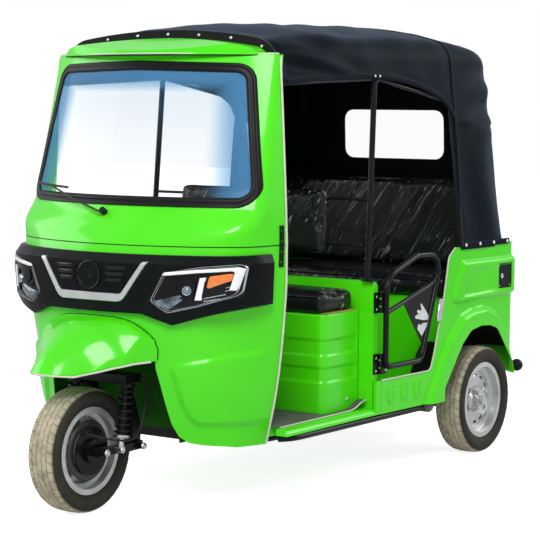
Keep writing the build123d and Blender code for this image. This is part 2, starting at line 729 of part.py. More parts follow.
def floor_pan():
    """The floor from the front well to the rear seat, with turned-down sills."""
    side_y = PANEL_FRONT
    plan = mirrored([(PAN_FRONT, WELL_BACK), (PAN_FRONT, PAN_STEP), (PAN_NOSE, PAN_STEP), (BULKHEAD_HALF, BULKHEAD_Y),
                     (BULKHEAD_HALF, side_y), (body_half(side_y) - SHEET - FIT, side_y),
                     (body_half(REAR_PAN_Y) - SHEET - FIT, REAR_PAN_Y), (SEAT_FACE_HALF, REAR_PAN_Y),
                     (SEAT_FACE_HALF, REAR_SEAT_Y + SHEET)])
    pan = plan_prism(plan, FLOOR_Z - SHEET, FLOOR_Z)
    edge = [(PAN_NOSE, PAN_STEP), (BULKHEAD_HALF, BULKHEAD_Y), (BULKHEAD_HALF, side_y)]
    inner = mirrored([(x - SHEET, y) for x, y in edge])
    sill = plan_prism(mirrored(edge), SILL_Z, FLOOR_Z) - plan_prism(inner, SILL_Z - 1, FLOOR_Z + 1)
    riser = block(FRAME_X - 20, FRAME_X + 20, 560, 1500, FRAME_TOP, FLOOR_Z - SHEET)
    return pan + sill + riser + flip(riser) - Pos(0, NECK_Y, FLOOR_Z) * Cylinder(NECK_R + FIT, 60)


def bulkhead():
    """The green wall behind the driver, returned at its sides and rounded at its top corners."""
    below = block(-700, 700, 1000, 1300, 0, FLOOR_Z)

    def form(shrink, y0, y1):
        half, top = BULKHEAD_HALF - shrink, BULKHEAD_TOP - shrink
        return front_prism(mirrored([(half, FLOOR_Z - 60), (half, top)]), y0, y1, 26 - shrink)
    wall = form(0, BULKHEAD_Y, BULKHEAD_Y + BULKHEAD_DEEP)
    return wall - form(SHEET, BULKHEAD_Y + SHEET, BULKHEAD_Y + BULKHEAD_DEEP + 1) - below


BOX_BANDS = (420, 560)
BAND_H = 70


def seat_box():
    """The driver's hollow seat box with two pressed bands on each side."""
    def form(half, front, back, z0, z1, r):
        far = 200
        plan = plan_prism(mirrored([(half, back + far), (half, front)]), z0, z1, r)
        return plan & block(-600, 600, 800, back, 0, 900)
    box = form(CAB_HALF, SEAT_FRONT, BULKHEAD_Y, FLOOR_Z, SEAT_TOP, 40)
    box -= form(CAB_HALF - SHEET, SEAT_FRONT + SHEET, BULKHEAD_Y - SHEET, FLOOR_Z - 1, SEAT_TOP - SHEET, 36)
    for z in BOX_BANDS:
        band = block(CAB_HALF, CAB_HALF + 4, SEAT_FRONT + 60, BULKHEAD_Y - 30, z, z + BAND_H)
        box += band + flip(band)
    return box


def cushion(x0, x1, y0, y1, z0, z1, r):
    return fillet(block(x0, x1, y0, y1, z0, z1).edges(), r)


POST_R = 12
POST_X, POST_TOP_X, POST_BEND = 556, 542, 832
POST_Y = BULKHEAD_Y - POST_R - SOFT_GAP
POST_TOP = (1197, 1640)         # y, z where the post meets the hoop
BAR_ZS = (962, 1150)
BAR_R = 6
POST_LEAN = (POST_TOP[0] - POST_Y) / (POST_TOP[1] - POST_BEND)


def post_at(z):
    """The centre of the left post at a height above its bend."""
    share = (z - POST_BEND) / (POST_TOP[1] - POST_BEND)
    return POST_X + share * (POST_TOP_X - POST_X), POST_Y + share * (POST_TOP[0] - POST_Y), z


HOOP_GAP = VINYL + 1.2
ROOF_RAIL = [(530, COWL_BACK + 1, 1608), (540, BOW_YS[0], 1642)]
REAR_RAIL = [(540, BOW_YS[0], 1642), (558, BOW_YS[1], 1548)]


def upper_frame():
    """Posts, ladder bars, two hoops and the roof rails, welded together."""
    frame = rod((POST_X, POST_Y, 700), post_at(POST_BEND), POST_R) + Pos(*post_at(POST_BEND)) * Sphere(POST_R)
    frame += rod(post_at(POST_BEND), post_at(POST_TOP[1]), POST_R)
    frame += rod(*ROOF_RAIL, 8) + rod(*REAR_RAIL, 8)
    frame += flip(frame)
    for z in BAR_ZS:
        x, y, z = post_at(z)
        frame += rod((-x, y, z), (x, y, z), BAR_R)
    for row, low in ((ROOF_ROWS[1], POST_TOP[1] - 12), (REAR_ROWS[0], BODY_TOP)):
        y0, y1 = row[0] - BOW_D / 2, row[0] + BOW_D / 2
        hoop = hoop_bar(row, -HOOP_GAP, y0, y1) - hoop_bar(row, -HOOP_GAP - BOW_D, y0 - 1, y1 + 1)
        frame += hoop - block(-900, 900, 0, 3000, 0, low)
    return frame


BACKREST_HALF = 360
BACKREST_T = 70


def driver_backrest():
    """A thin pad that leans on the two ladder bars."""
    low, high = 925, 1185
    lean = atan2(POST_TOP[0] - POST_Y, POST_TOP[1] - POST_BEND)
    pad = cushion(-BACKREST_HALF, BACKREST_HALF, -BACKREST_T, 0, 0, high - low, 24)
    foot_y = post_at(low)[1] - (BAR_R + SOFT_GAP) / cos(lean)
    return Pos(0, foot_y, low) * Rot(-degrees(lean), 0, 0) * pad


# ------------------------------------------------------------------ rear body
# outlines measured rearward from the rear axle
ARCH_FLARE = [(-473, 308), (-321, 535), (-209, 633), (-117, 656), (-10, 660), (98, 625), (178, 534), (268, 340)]
ARCH_HOLE = [(-367, 200), (-367, 330), (-223, 508), (-153, 560), (-67, 574), (12, 569), (76, 550), (246, 350),
             (246, 200)]
ARCH_MID = WHEELBASE - 7
FLARE_LOW, FLARE_REAR_LOW = 308, 325
FLARE = 28              # how far the arch's flare stands off the side
PANEL_FRONT = BULKHEAD_Y + BULKHEAD_DEEP + 2
DOOR_HOLE = [(1150, 412), (1596, 412), (1650, 560), (1702, 700), (1800, 960), (1150, 960)]
BODY_LOW, TAIL_LOW = 274, 330
PRESSED = 12            # height of the pressed panel
RAISED = [(-298, 677), (-198, 868), (225, 868), (225, 692)]
RECESS = [(-228, 697), (-125, 831), (93, 831), (93, 718)]
DIMPLES = (1240, 1340, 1440)
REAR_SPLIT = 470
LID = (WHEELBASE + 105, WHEELBASE + 215, 725, 826)      # y, y, z, z
LID_T = 5
BARREL_R = 3
ENGINE_HALF, ENGINE_LOW, ENGINE_HIGH = 330, 420, 760


def by_axle(points):
    """A side outline moved from the rear axle to its place."""
    return [(y + WHEELBASE, z) for y, z in points]


def body_half(y):
    """Half width of the rear body, which widens toward the back."""
    return BODY_HALF + (y - BULKHEAD_Y) / (BODY_BACK - BULKHEAD_Y) * (BODY_HALF_BACK - BODY_HALF)


def body_solid(grow, z0, z1):
    """The rear body's plan, grown by an offset and carried up."""
    front, back = BULKHEAD_Y - 50, BODY_BACK + grow
    near, far = body_half(front) + grow, body_half(BODY_BACK) + grow
    line = FilletPolyline((-near, front), (-far, back), (far, back), (near, front), radius=BODY_CORNER_R + grow)
    return extrude(Pos(0, 0, z0) * make_face(line + Line((near, front), (-near, front))), z1 - z0)


def on_side(outer, inner, z0=200, z1=1000):
    """The layer between two offsets of the body's side."""
    return body_solid(outer, z0, z1) - body_solid(inner, z0 - 1, z1 + 1)


def flare_prism(inset):
    """The arch flare's side outline, drawn in toward the wheel by an inset, open below."""
    rim_line = [(y + (inset if y < ARCH_MID else -inset), z - inset) for y, z in by_axle(ARCH_FLARE)]
    (y0, _), (y1, _) = rim_line[0], rim_line[-1]
    return side_prism([*rim_line, (y1, 150), (y0, 150)], REAR_SPLIT, OUTSIDE, 20)


def side_panel():
    """The left rear side: door opening, wheel arch with its flare, pressed forms and the lid's hole."""
    hole = side_prism(by_axle(ARCH_HOLE), REAR_SPLIT, OUTSIDE, 30)
    cavity = flare_prism(SHEET) & body_solid(FLARE - SHEET, 0, 1000)
    wall = on_side(0, -SHEET, BODY_LOW, BODY_TOP) & block(REAR_SPLIT, OUTSIDE, PANEL_FRONT, REAR_END, 0, 2000)
    wall -= side_prism(DOOR_HOLE, REAR_SPLIT, OUTSIDE)
    wall -= block(0, OUTSIDE, ARCH_MID, REAR_END, 0, TAIL_LOW)
    flare = flare_prism(0) & on_side(FLARE, -SHEET, FLARE_LOW, 700)
    flare -= block(0, OUTSIDE, ARCH_MID, REAR_END, 0, FLARE_REAR_LOW)
    side = wall + flare - cavity - hole
    side += side_prism(by_axle(RAISED), REAR_SPLIT, OUTSIDE, 20) & on_side(PRESSED, 0)
    side -= side_prism(by_axle(RECESS), REAR_SPLIT, OUTSIDE, 12) & on_side(PRESSED + 1, PRESSED / 2)
    for y in DIMPLES:
        dimple = [(y, 312), (y, 384), (y + 34, 384), (y + 34, 312)]
        side += side_prism(dimple, REAR_SPLIT, OUTSIDE, 15) & on_side(4, 0)
    y0, y1, z0, z1 = LID
    return side - block(REAR_SPLIT, OUTSIDE, y0 - RUN, y1 + RUN, z0 - RUN, z1 + RUN)


PLATE_HALF, PLATE_Z0, PLATE_Z1 = 130, 790, 890
PLATE_HOLE_X, PLATE_HOLE_R = 100, 3.5


def rear_panel():
    """The back of the body, with the engine door's opening and the deck behind the seat."""
    wall = on_side(0, -SHEET, TAIL_LOW, BODY_TOP) & block(-REAR_SPLIT, REAR_SPLIT, BODY_BACK - 50, REAR_END, 0, 2000)
    wall -= block(-ENGINE_HALF - RUN, ENGINE_HALF + RUN, BODY_BACK - 50, BODY_BACK + 50,
                  ENGINE_LOW - RUN, ENGINE_HIGH + RUN)
    deck = body_solid(-SHEET, BODY_TOP - SHEET, BODY_TOP) - block(-800, 800, 0, DECK_FRONT, 0, 2000)
    return wall + deck


def number_plate():
    """A blank plate on two spacers, with a screw hole through each."""
    y = BODY_BACK
    plate = block(-PLATE_HALF, PLATE_HALF, y + 8, y + 10, PLATE_Z0, PLATE_Z1)
    z = (PLATE_Z0 + PLATE_Z1) / 2
    for x in (-PLATE_HOLE_X, PLATE_HOLE_X):
        plate += Pos(x, y + 5, z) * Rot(90, 0, 0) * Cylinder(9, 10)
        plate -= Pos(x, y + 5, z) * Rot(90, 0, 0) * Cylinder(PLATE_HOLE_R, 20)
    return plate


def engine_door():
    """The door in the back, with the hinge barrel along its top edge."""
    slab = block(-ENGINE_HALF, ENGINE_HALF, BODY_BACK - SHEET, BODY_BACK, ENGINE_LOW, ENGINE_HIGH)
    barrel_y, barrel_z = BODY_BACK + BARREL_R + SOFT_GAP, ENGINE_HIGH + RUN
    slab += block(-ENGINE_HALF, ENGINE_HALF, BODY_BACK - SHEET, barrel_y, ENGINE_HIGH - BARREL_R, ENGINE_HIGH)
    slab += rod((-ENGINE_HALF, barrel_y, barrel_z), (ENGINE_HALF, barrel_y, barrel_z), BARREL_R)
    return slab + block(-ENGINE_HALF, ENGINE_HALF, barrel_y - 1, barrel_y + 1, ENGINE_HIGH - 1, barrel_z)


def filler_lid():
    """The small lid in the pressed panel, hinged along its top edge."""
    y0, y1, z0, z1 = LID
    lid = on_side(PRESSED, PRESSED - LID_T) & block(REAR_SPLIT, OUTSIDE, y0, y1, z0, z1)
    off = PRESSED + SOFT_GAP + BARREL_R
    ends = [(body_half(y) + off, y, z1 + RUN) for y in (y0, y1)]
    tab = on_side(off, PRESSED - LID_T) & block(REAR_SPLIT, OUTSIDE, y0, y1, z1 - BARREL_R, z1 + 1)
    tab += on_side(off, PRESSED + SOFT_GAP) & block(REAR_SPLIT, OUTSIDE, y0, y1, z1, z1 + RUN)
    return lid + rod(*ends, BARREL_R) + tab


def wheel_liner():
    """The black arch plate over the left rear wheel."""
    arch = x_disc(SEAT_FACE_HALF, OUTSIDE, WHEELBASE, AXLE_Z, ARCH_R)
    arch -= x_disc(SEAT_FACE_HALF + SHEET, OUTSIDE + 1, WHEELBASE, AXLE_Z, ARCH_R - SHEET)
    arch &= block(0, OUTSIDE, WHEELBASE - ARCH_R, BODY_BACK - 30, FLOOR_Z, 700)
    return arch & body_solid(-SHEET - FIT, 0, 1000)


def rear_seat_base():
    """The rear seat's front wall and its top, cut round the wheel arches."""
    half = body_half(REAR_SEAT_Y) + 60
    base = block(-half, half, REAR_SEAT_Y, REAR_SEAT_Y + SHEET, FLOOR_Z, SEAT_TOP)
    base += block(-half, half, REAR_SEAT_Y, DECK_FRONT - 2, SEAT_TOP - SHEET, SEAT_TOP)
    base &= body_solid(-SHEET - FIT, 0, 1000)
    for side in (1, -1):
        arch = x_disc(SEAT_FACE_HALF, OUTSIDE, WHEELBASE, AXLE_Z, ARCH_R + FIT)
        base -= arch if side > 0 else flip(arch)
    return base


REAR_CUSHION_HALF = 560


# ------------------------------------------------------------------ door
DOOR_X = 606
DOOR_TUBE = 12
DOOR_RING = [(1206, 760), (1206, 432), (1520, 432), (1590, 462), (1657, 706), (1637, 810), (1566, 900), (1440, 899),
             (1250, 820)]
DOOR_BEND = 22
HINGE_X, HINGE_Y = 590, 1190
HINGE_ZS = (480, 732)
HINGE_HALF_H = 42
KNUCKLE_R, KNUCKLE_HALF_H = 7, 12
LEAF_T = 6


def knuckle(z, half_h, r):
    return Pos(HINGE_X, HINGE_Y, z) * Cylinder(r, 2 * half_h)


def door():
    """The left door: a bent ring, a diagonal, a gusset plate and a latch, on two leaf hinges."""
    ring = pipe([(DOOR_X, y, z) for y, z in DOOR_RING], DOOR_TUBE, DOOR_BEND, close=True)
    bar = rod((DOOR_X, 1206, 655), (DOOR_X, 1650, 790), 10)
    plate = side_prism([(1350, 700), (1640, 788), (1655, 706), (1588, 470)], DOOR_X - 2, DOOR_X + 2)
    frame = ring + bar + plate + block(DOOR_X - 14, DOOR_X + 14, 1590, 1626, 632, 712)
    for z in HINGE_ZS:
        leaf = block(HINGE_X + 2, HINGE_X + 2 + LEAF_T, HINGE_Y, HINGE_Y + 36, z - HINGE_HALF_H, z + HINGE_HALF_H)
        leaf += knuckle(z, HINGE_HALF_H, KNUCKLE_R)
        frame += leaf - knuckle(z, KNUCKLE_HALF_H + FIT, KNUCKLE_R + 1)
    return frame


def hinge_leaf():
    """The two left leaves on the bulkhead's side, each with the middle knuckle."""
    leaves = []
    for z in HINGE_ZS:
        leaf = block(BULKHEAD_HALF, BULKHEAD_HALF + LEAF_T, BULKHEAD_Y + 2, HINGE_Y, z - HINGE_HALF_H, z + HINGE_HALF_H)
        leaf -= knuckle(z, HINGE_HALF_H + 1, KNUCKLE_R + 1)
        leaf += block(BULKHEAD_HALF, HINGE_X, HINGE_Y - KNUCKLE_R, HINGE_Y, z - KNUCKLE_HALF_H, z + KNUCKLE_HALF_H)
        leaves.append(leaf + knuckle(z, KNUCKLE_HALF_H, KNUCKLE_R))
    return group(*leaves)


# ------------------------------------------------------------------ canopy
ROOF_ROWS = (
    FRONT_HOOP,
    (BOW_YS[0], 1862, 1900, 110, 578, 1500, 7),
    (BOW_YS[1], 1872, 1900, 110, 575.5, 1500, 6),
)
REAR_ROWS = (
    (BOW_YS[1], 1872, 1900, 110, 637, BODY_TOP - 10, 6),
    (WHEELBASE - 47, 1866, 1900, 110, 637, BODY_TOP - 10, 6),
    (WHEELBASE + 293, 1850, 1900, 110, 637, BODY_TOP - 10, 6),
)
BACK_Y = WHEELBASE + 222        # the rear wall above its slope
# columns of the rear wall: z, half width, y of the back
BACK_ROWS = ((860, 652, BACK_Y + 26), (1270, 610, BACK_Y), (1900, 540, BACK_Y - 30))
BACK_R = 110
CROWN_R = 230           # the roof rolls down to the rear wall
HEM = [(500, 1600), (800, 1628), (1170, 1638), (1500, 1606), (BOW_YS[1] - 80, 1536), (BOW_YS[1] + 10, 1520)]
HEM_LAP = 14            # the vinyl laps the body's top edge


def hoop_skin(rows, grow):
    return loft([hoop_section(row, grow) for row in rows], ruled=True)


def canopy_roof():
    wall = hoop_skin(ROOF_ROWS, 0) - hoop_skin(ROOF_ROWS, -VINYL)
    return wall - side_prism([*HEM, (HEM[-1][0], 1300), (500, 1300)], -OUTSIDE, OUTSIDE)


def rear_form(grow):
    """The inside of the rear quarter: leaning sides, round corners and a rolled rear edge."""
    sections = []
    for z, half, back in BACK_ROWS:
        half, back = half + grow, back + grow
        start = BOW_YS[1] - 50
        line = FilletPolyline((-half, start), (-half, back), (half, back), (half, start), radius=BACK_R + grow)
        sections.append(Pos(0, 0, z) * make_face(line + Line((half, start), (-half, start))))
    back, top = BACK_Y + 26 + grow, 1852 + grow
    roll = CROWN_R + grow
    profile = make_face([
        Line((BOW_YS[1] + SOFT_GAP, 860), (back, 860)), Line((back, 860), (back, top - roll)),
        RadiusArc((back, top - roll), (back - roll, top), -roll), Line((back - roll, top), (BOW_YS[1] + SOFT_GAP, 1900)),
        Line((BOW_YS[1] + SOFT_GAP, 1900), (BOW_YS[1] + SOFT_GAP, 860))])
    profile = extrude(Plane.YZ.offset(-OUTSIDE) * profile, 2 * OUTSIDE)
    return loft(sections, ruled=True) & hoop_skin(REAR_ROWS, grow) & profile


WINDOW_HALF, WINDOW_LOW, WINDOW_HIGH = 268, 1285, 1510
WINDOW_R = 45


def window_prism(grow):
    w, low, high = WINDOW_HALF + grow, WINDOW_LOW - grow, WINDOW_HIGH + grow
    return front_prism([(-w, low), (w, low), (w, high), (-w, high)], BACK_Y - 60, BACK_Y + 60, WINDOW_R + grow)


def canopy_rear():
    """Side quarters, rolled rear edge and rear wall with its window hole."""
    wall = rear_form(0) - rear_form(-VINYL) - window_prism(0)
    wall -= block(-OUTSIDE, OUTSIDE, 1000, REAR_END, 0, BODY_TOP - HEM_LAP)
    return wall - body_solid(SOFT_GAP, 0, BODY_TOP + SOFT_GAP)


def rear_window():
    return window_prism(-FIT) & block(-400, 400, BACK_Y - VINYL + 1, BACK_Y - 1, 1200, 1600)


# ------------------------------------------------------------------ tail
BUMPER_Z, BUMPER_R = 325, 17
BALL_R, BALL_X = 29, 522
TAIL_LAMP = (430, 510, 620, 780)        # x, x, z, z


def tail_lamp():
    """The left lamp on the back, seated on the flat beside the rounded corner."""
    x0, x1, z0, z1 = TAIL_LAMP
    return fillet(block(x0, x1, BODY_BACK, BODY_BACK + 26, z0, z1).edges().group_by(Axis.Y)[-1], 6)


def rear_bumper():
    """A round bar with ball ends on two arms from the frame."""
    bar_y = REAR_END - BALL_R
    frame_end = CROSS_YS[-1] + FRAME_W
    bar = rod((-BALL_X, bar_y, BUMPER_Z), (BALL_X, bar_y, BUMPER_Z), BUMPER_R)
    for side in (1, -1):
        bar += Pos(side * BALL_X, bar_y, BUMPER_Z) * Sphere(BALL_R)
        x0, x1 = side * (FRAME_X - 30) - 14, side * (FRAME_X - 30) + 14
        bar += block(x0, x1, frame_end, bar_y, FRAME_TOP - 30, FRAME_TOP)
        bar += block(x0, x1, bar_y - 14, bar_y + 14, FRAME_TOP - 30, BUMPER_Z)
    return bar


BRACKET = (478, 502, 923, 1080)         # y, y, z, z
BRACKET_HOLES = 4


def cowl_bracket():
    """The drilled strip on the left rear edge of the cowl."""
    y0, y1, z0, z1 = BRACKET
    strip = shell(COWL_ROWS, 4, 0) & block(400, 700, y0, y1, z0, z1)
    for k in range(BRACKET_HOLES):
        z = z0 + (k + 0.5) * (z1 - z0) / BRACKET_HOLES
        strip -= x_disc(400, 700, (y0 + y1) / 2, z, 5)
    return strip


# one entry for each node
NODES = {
    "cowl_lower": cowl_lower(),
    "cowl_upper": cowl_upper(),
    "windshield_glass": windshield_glass(),
    "windshield_seal": windshield_seal(),
    "wiper": wiper(),
    "header": header(),
    "canopy_trim": canopy_trim(),
    "fascia_band": fascia_band(),
    "grille_trim": grille_trim(),
    "headlamps": both(headlamp()),
    "cowl_brackets": both(cowl_bracket()),
    "front_fender": front_fender(),
    "wheel_well": wheel_well(),
    "fork": fork(),
    "front_arms": front_arms(),
    "front_shocks": both(front_shock()),
    "brake_hose": brake_hose(),
    "handlebar": handlebar(),
    "front_tyre": tyre(0, 0),
    "front_rim": front_rim(),
    "chassis_frame": chassis_frame(),
    "rear_axle": rear_axle(),
    "engine_block": engine_block(),
    "muffler": muffler(),
    "floor_pan": floor_pan(),
    "bulkhead": bulkhead(),
    "seat_box": seat_box(),
    "driver_cushion": cushion(-500, 500, SEAT_FRONT - 20, POST_Y - POST_R - 1, SEAT_TOP + SOFT_GAP, 790, 24),
    "driver_backrest": driver_backrest(),
    "upper_frame": upper_frame(),
    "rear_panel": rear_panel(),
    "number_plate": number_plate(),
    "engine_door": engine_door(),
    "wheel_liners": both(wheel_liner()),
    "rear_seat_base": rear_seat_base(),
    "rear_cushion": cushion(-REAR_CUSHION_HALF, REAR_CUSHION_HALF, REAR_SEAT_Y - 40, DECK_FRONT - 32,
                            SEAT_TOP + SOFT_GAP, 800, 30),
    "rear_backrest": cushion(-REAR_CUSHION_HALF, REAR_CUSHION_HALF, DECK_FRONT - 82, DECK_FRONT - SOFT_GAP,
                             800 + SOFT_GAP, 1205, 30),
    "hinge_leaves": both(hinge_leaf()),
    "canopy_roof": canopy_roof(),
    "canopy_rear": canopy_rear(),
    "rear_window": rear_window(),
    "tail_lamps": both(tail_lamp()),
    "rear_bumper": rear_bumper(),
    "filler_lid": filler_lid(),
}
SIDED = {
    "side_panel": side_panel(),
    "door": door(),
    "rear_tyre": tyre(TRACK / 2, WHEELBASE),
    "rear_rim": rear_rim(),
}

for name, shape in NODES.items():
    save(name, shape)
for name, shape in SIDED.items():
    save(f"{name}_left", shape)
    save(f"{name}_right", flip(shape))
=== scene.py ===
"""Looks of a passenger tricycle: painted panels, canopy, seats, wheels, lamps and small fittings.

Every length is in millimetres and every y is measured rearward from the front axle, as in the
part's own source; place() turns such points into the frame's metres.
"""
import json
from math import atan2, cos, pi, radians, sin, sqrt, tan

import bmesh
import bpy
import numpy as np
from mathutils import Matrix, Vector

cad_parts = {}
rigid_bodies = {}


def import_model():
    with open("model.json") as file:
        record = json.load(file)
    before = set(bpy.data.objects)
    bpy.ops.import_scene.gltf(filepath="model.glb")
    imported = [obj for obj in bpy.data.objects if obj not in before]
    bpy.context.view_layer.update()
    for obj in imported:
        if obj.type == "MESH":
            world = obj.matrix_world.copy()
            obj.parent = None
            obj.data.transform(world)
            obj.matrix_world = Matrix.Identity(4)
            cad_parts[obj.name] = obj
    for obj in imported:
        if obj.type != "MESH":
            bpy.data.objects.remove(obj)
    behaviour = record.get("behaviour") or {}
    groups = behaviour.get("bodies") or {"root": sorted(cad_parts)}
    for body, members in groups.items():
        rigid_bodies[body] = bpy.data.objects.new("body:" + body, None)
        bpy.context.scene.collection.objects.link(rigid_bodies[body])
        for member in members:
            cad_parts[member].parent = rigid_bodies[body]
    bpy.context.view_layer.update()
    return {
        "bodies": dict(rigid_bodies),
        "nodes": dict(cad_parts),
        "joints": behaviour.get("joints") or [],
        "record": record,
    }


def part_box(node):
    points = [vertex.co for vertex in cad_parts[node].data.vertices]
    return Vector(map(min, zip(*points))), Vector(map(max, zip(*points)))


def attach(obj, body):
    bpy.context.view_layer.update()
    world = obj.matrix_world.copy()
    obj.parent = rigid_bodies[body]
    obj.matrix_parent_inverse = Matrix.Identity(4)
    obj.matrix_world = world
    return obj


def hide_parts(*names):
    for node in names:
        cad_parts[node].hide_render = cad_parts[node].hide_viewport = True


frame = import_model()
TYRE_LOW, TYRE_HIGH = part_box("front_tyre")
AXLE_Y = (TYRE_LOW.y + TYRE_HIGH.y) / 2
MM = 0.001


def place(points):
    """Millimetres from the front axle to metres in the frame."""
    moved = np.asarray(points, float) * MM
    moved[..., 1] += AXLE_Y
    return moved


# ------------------------------------------------------------------ the vehicle's sizes, as in its source
WHEELBASE, TRACK = 2007, 1150
TYRE_R = 236
COWL_BACK, COWL_SEAM, COWL_TOP = 520, 1005, 1720
COWL_BOTTOM = 235
BULKHEAD_Y = 1150
PANEL_FRONT = 1186
BODY_HALF, BODY_HALF_BACK, BODY_BACK, BODY_TOP = 598, 634, WHEELBASE + 300, 925
BODY_CORNER_R = 80
BODY_LOW, TAIL_LOW = 274, 330
CANOPY_FRONT = 545
MIDDLE_BOW = 1200
LAST_BOW = 1800         # y of the bow where the roof's side hem ends and the quarter begins

COWL_ROWS = (
    (235, 134, 520, 260, 489, 16, 1000),
    (450, 97, 620, 260, 535, 16, 1000),
    (600, 80, 660, 260, 556, 16, 1000),
    (730, 70, 780, 250, 568, 15, 1000),
    (880, 78, 850, 240, 577, 10, 1400),
    (COWL_SEAM, 105, 900, 200, 577, 5, 3000),
    (1075, 152, 1120, 120, 575, 3, 3000),
    (1150, 200, 995, 75, 572, 2, 3000),
    (1430, 277, 980, 55, 558, 2, 3000),
    (COWL_TOP, 352, 1000, 40, 542, 2, 3000), )
BAND_ROWS = (
    (700, 66, 900, 260, 568, 14, 1200),
    (728, 62, 1000, 280, 572, 10, 1600),
    (790, 54, 1400, 340, 582, 1, 3000),
    (945, 56, 1400, 330, 588, 1, 3000),
    (980, 92, 1000, 220, 580, 4, 3000), )


# ------------------------------------------------------------------ mesh helpers
def sheet_faces(rows, columns, close_rows=False, close_columns=False, base=0):
    """The quads of a grid whose point (i, j) has the index base + i * columns + j."""
    i = np.arange(rows if close_rows else rows - 1)
    j = np.arange(columns if close_columns else columns - 1)
    i, j = np.meshgrid(i, j, indexing="ij")
    below, beside = (i + 1) % rows, (j + 1) % columns
    quads = np.stack([i * columns + j, i * columns + beside, below * columns + beside, below * columns + j],
                     -1)
    return quads.reshape(-1, 4) + base


def polygon_mesh(name, points, faces):
    """A mesh from an array of points in millimetres and an array of equal faces."""
    mesh = bpy.data.meshes.new(name)
    points, faces = place(points).reshape(-1, 3), np.asarray(faces)
    mesh.vertices.add(len(points))
    mesh.vertices.foreach_set("co", points.astype(np.float32).ravel())
    mesh.loops.add(faces.size)
    mesh.loops.foreach_set("vertex_index", faces.astype(np.int32).ravel())
    mesh.polygons.add(len(faces))
    mesh.polygons.foreach_set("loop_start", np.arange(0, faces.size, faces.shape[1], dtype=np.int32))
    mesh.update(calc_edges=True)
    mesh.validate()
    return mesh


def soften(mesh, angle=35):
    """Smooth shading with the edges over an angle kept sharp."""
    mesh.shade_smooth()
    mesh.set_sharp_from_angle(angle=radians(angle))


def piece(name, mesh, finish, body, stands_for=(), angle=35):
    """An object for a mesh, with its finish, that rides on a body."""
    obj = bpy.data.objects.new(name, mesh)
    bpy.context.scene.collection.objects.link(obj)
    for one in finish if isinstance(finish, (list, tuple)) else [finish]:
        mesh.materials.append(one)
    soften(mesh, angle)
    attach(obj, body)
    if stands_for:
        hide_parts(*stands_for)
    return obj


def settle(obj):
    """Make the object's modifiers part of its mesh."""
    depsgraph = bpy.context.evaluated_depsgraph_get()
    mesh = bpy.data.meshes.new_from_object(obj.evaluated_get(depsgraph))
    old = obj.data
    obj.modifiers.clear()
    obj.data = mesh
    mesh.name = obj.name
    bpy.data.meshes.remove(old)


def thicken(obj, thickness):
    """Give a sheet its thickness, inward from the faces' outer side, and settle it."""
    solid = obj.modifiers.new("thickness", "SOLIDIFY")
    solid.thickness = thickness * MM
    solid.offset = -1.0
    settle(obj)


def merged(parts):
    """One (points, faces) pair from several whose faces have as many corners."""
    points, faces, base = [], [], 0
    for p, f in parts:
        p = np.asarray(p, float).reshape(-1, 3)
        points.append(p)
        faces.append(np.asarray(f) + base)
        base += len(p)
    return np.concatenate(points), np.concatenate(faces)


def surface(grid, **closing):
    """(points, faces) of one grid of points."""
    return grid, sheet_faces(grid.shape[0], grid.shape[1], **closing)


def outward(mesh, merge=1e-5):
    """Turn a mesh's faces to the outside, after its points nearer than merge, in metres, are joined."""
    work = bmesh.new()
    work.from_mesh(mesh)
    bmesh.ops.remove_doubles(work, verts=work.verts, dist=merge)
    bmesh.ops.recalc_face_normals(work, faces=work.faces)
    work.to_mesh(mesh)
    work.free()


def solid_piece(name, parts, finish, body, stands_for=(), angle=35):
    """A piece from closed grids, merged and turned outward."""
    mesh = polygon_mesh(name, *merged(parts))
    outward(mesh)
    return piece(name, mesh, finish, body, stands_for, angle)


def flipped(parts):
    """The same (points, faces) pairs on the other side, with their faces turned."""
    return [(np.asarray(p) * (-1, 1, 1), np.asarray(f)[:, ::-1]) for p, f in parts]


def both(parts):
    """The parts and their mirror copies."""
    return list(parts) + flipped(parts)


def steps(start, stop, size):
    """Evenly spaced values at most a size apart, both ends among them."""
    return np.linspace(start, stop, max(2, int(np.ceil(abs(stop - start) / size)) + 1))


def smooth_step(x):
    """Nought below 0, one above 1, and a smooth rise between them."""
    x = np.clip(x, 0, 1)
    return x * x * (3 - 2 * x)


def table(rows, at):
    """Each column of a table between its rows: cubic, with slopes that never overshoot."""
    rows, at = np.asarray(rows, float), np.asarray(at, float)
    x, y = rows[:, 0], rows[:, 1:]
    h = np.diff(x)[:, None]
    d = np.diff(y, axis=0) / h
    slope = np.zeros_like(y)
    with np.errstate(divide="ignore", invalid="ignore"):
        w1, w2 = 2 * h[1:] + h[:-1], h[1:] + 2 * h[:-1]
        inner = (w1 + w2) / (w1 / d[:-1] + w2 / d[1:])
    slope[1:-1] = np.where(d[:-1] * d[1:] > 0, inner, 0)
    slope[0], slope[-1] = d[0], d[-1]
    k = np.clip(np.searchsorted(x, at) - 1, 0, len(x) - 2)
    t = ((at - x[k]) / (x[k + 1] - x[k]))[..., None]
    hk = h[k]
    return ((1 + 2 * t) * (1 - t) ** 2 * y[k] + t * (1 - t) ** 2 * hk * slope[k]
            + t * t * (3 - 2 * t) * y[k + 1] + t * t * (t - 1) * hk * slope[k + 1])


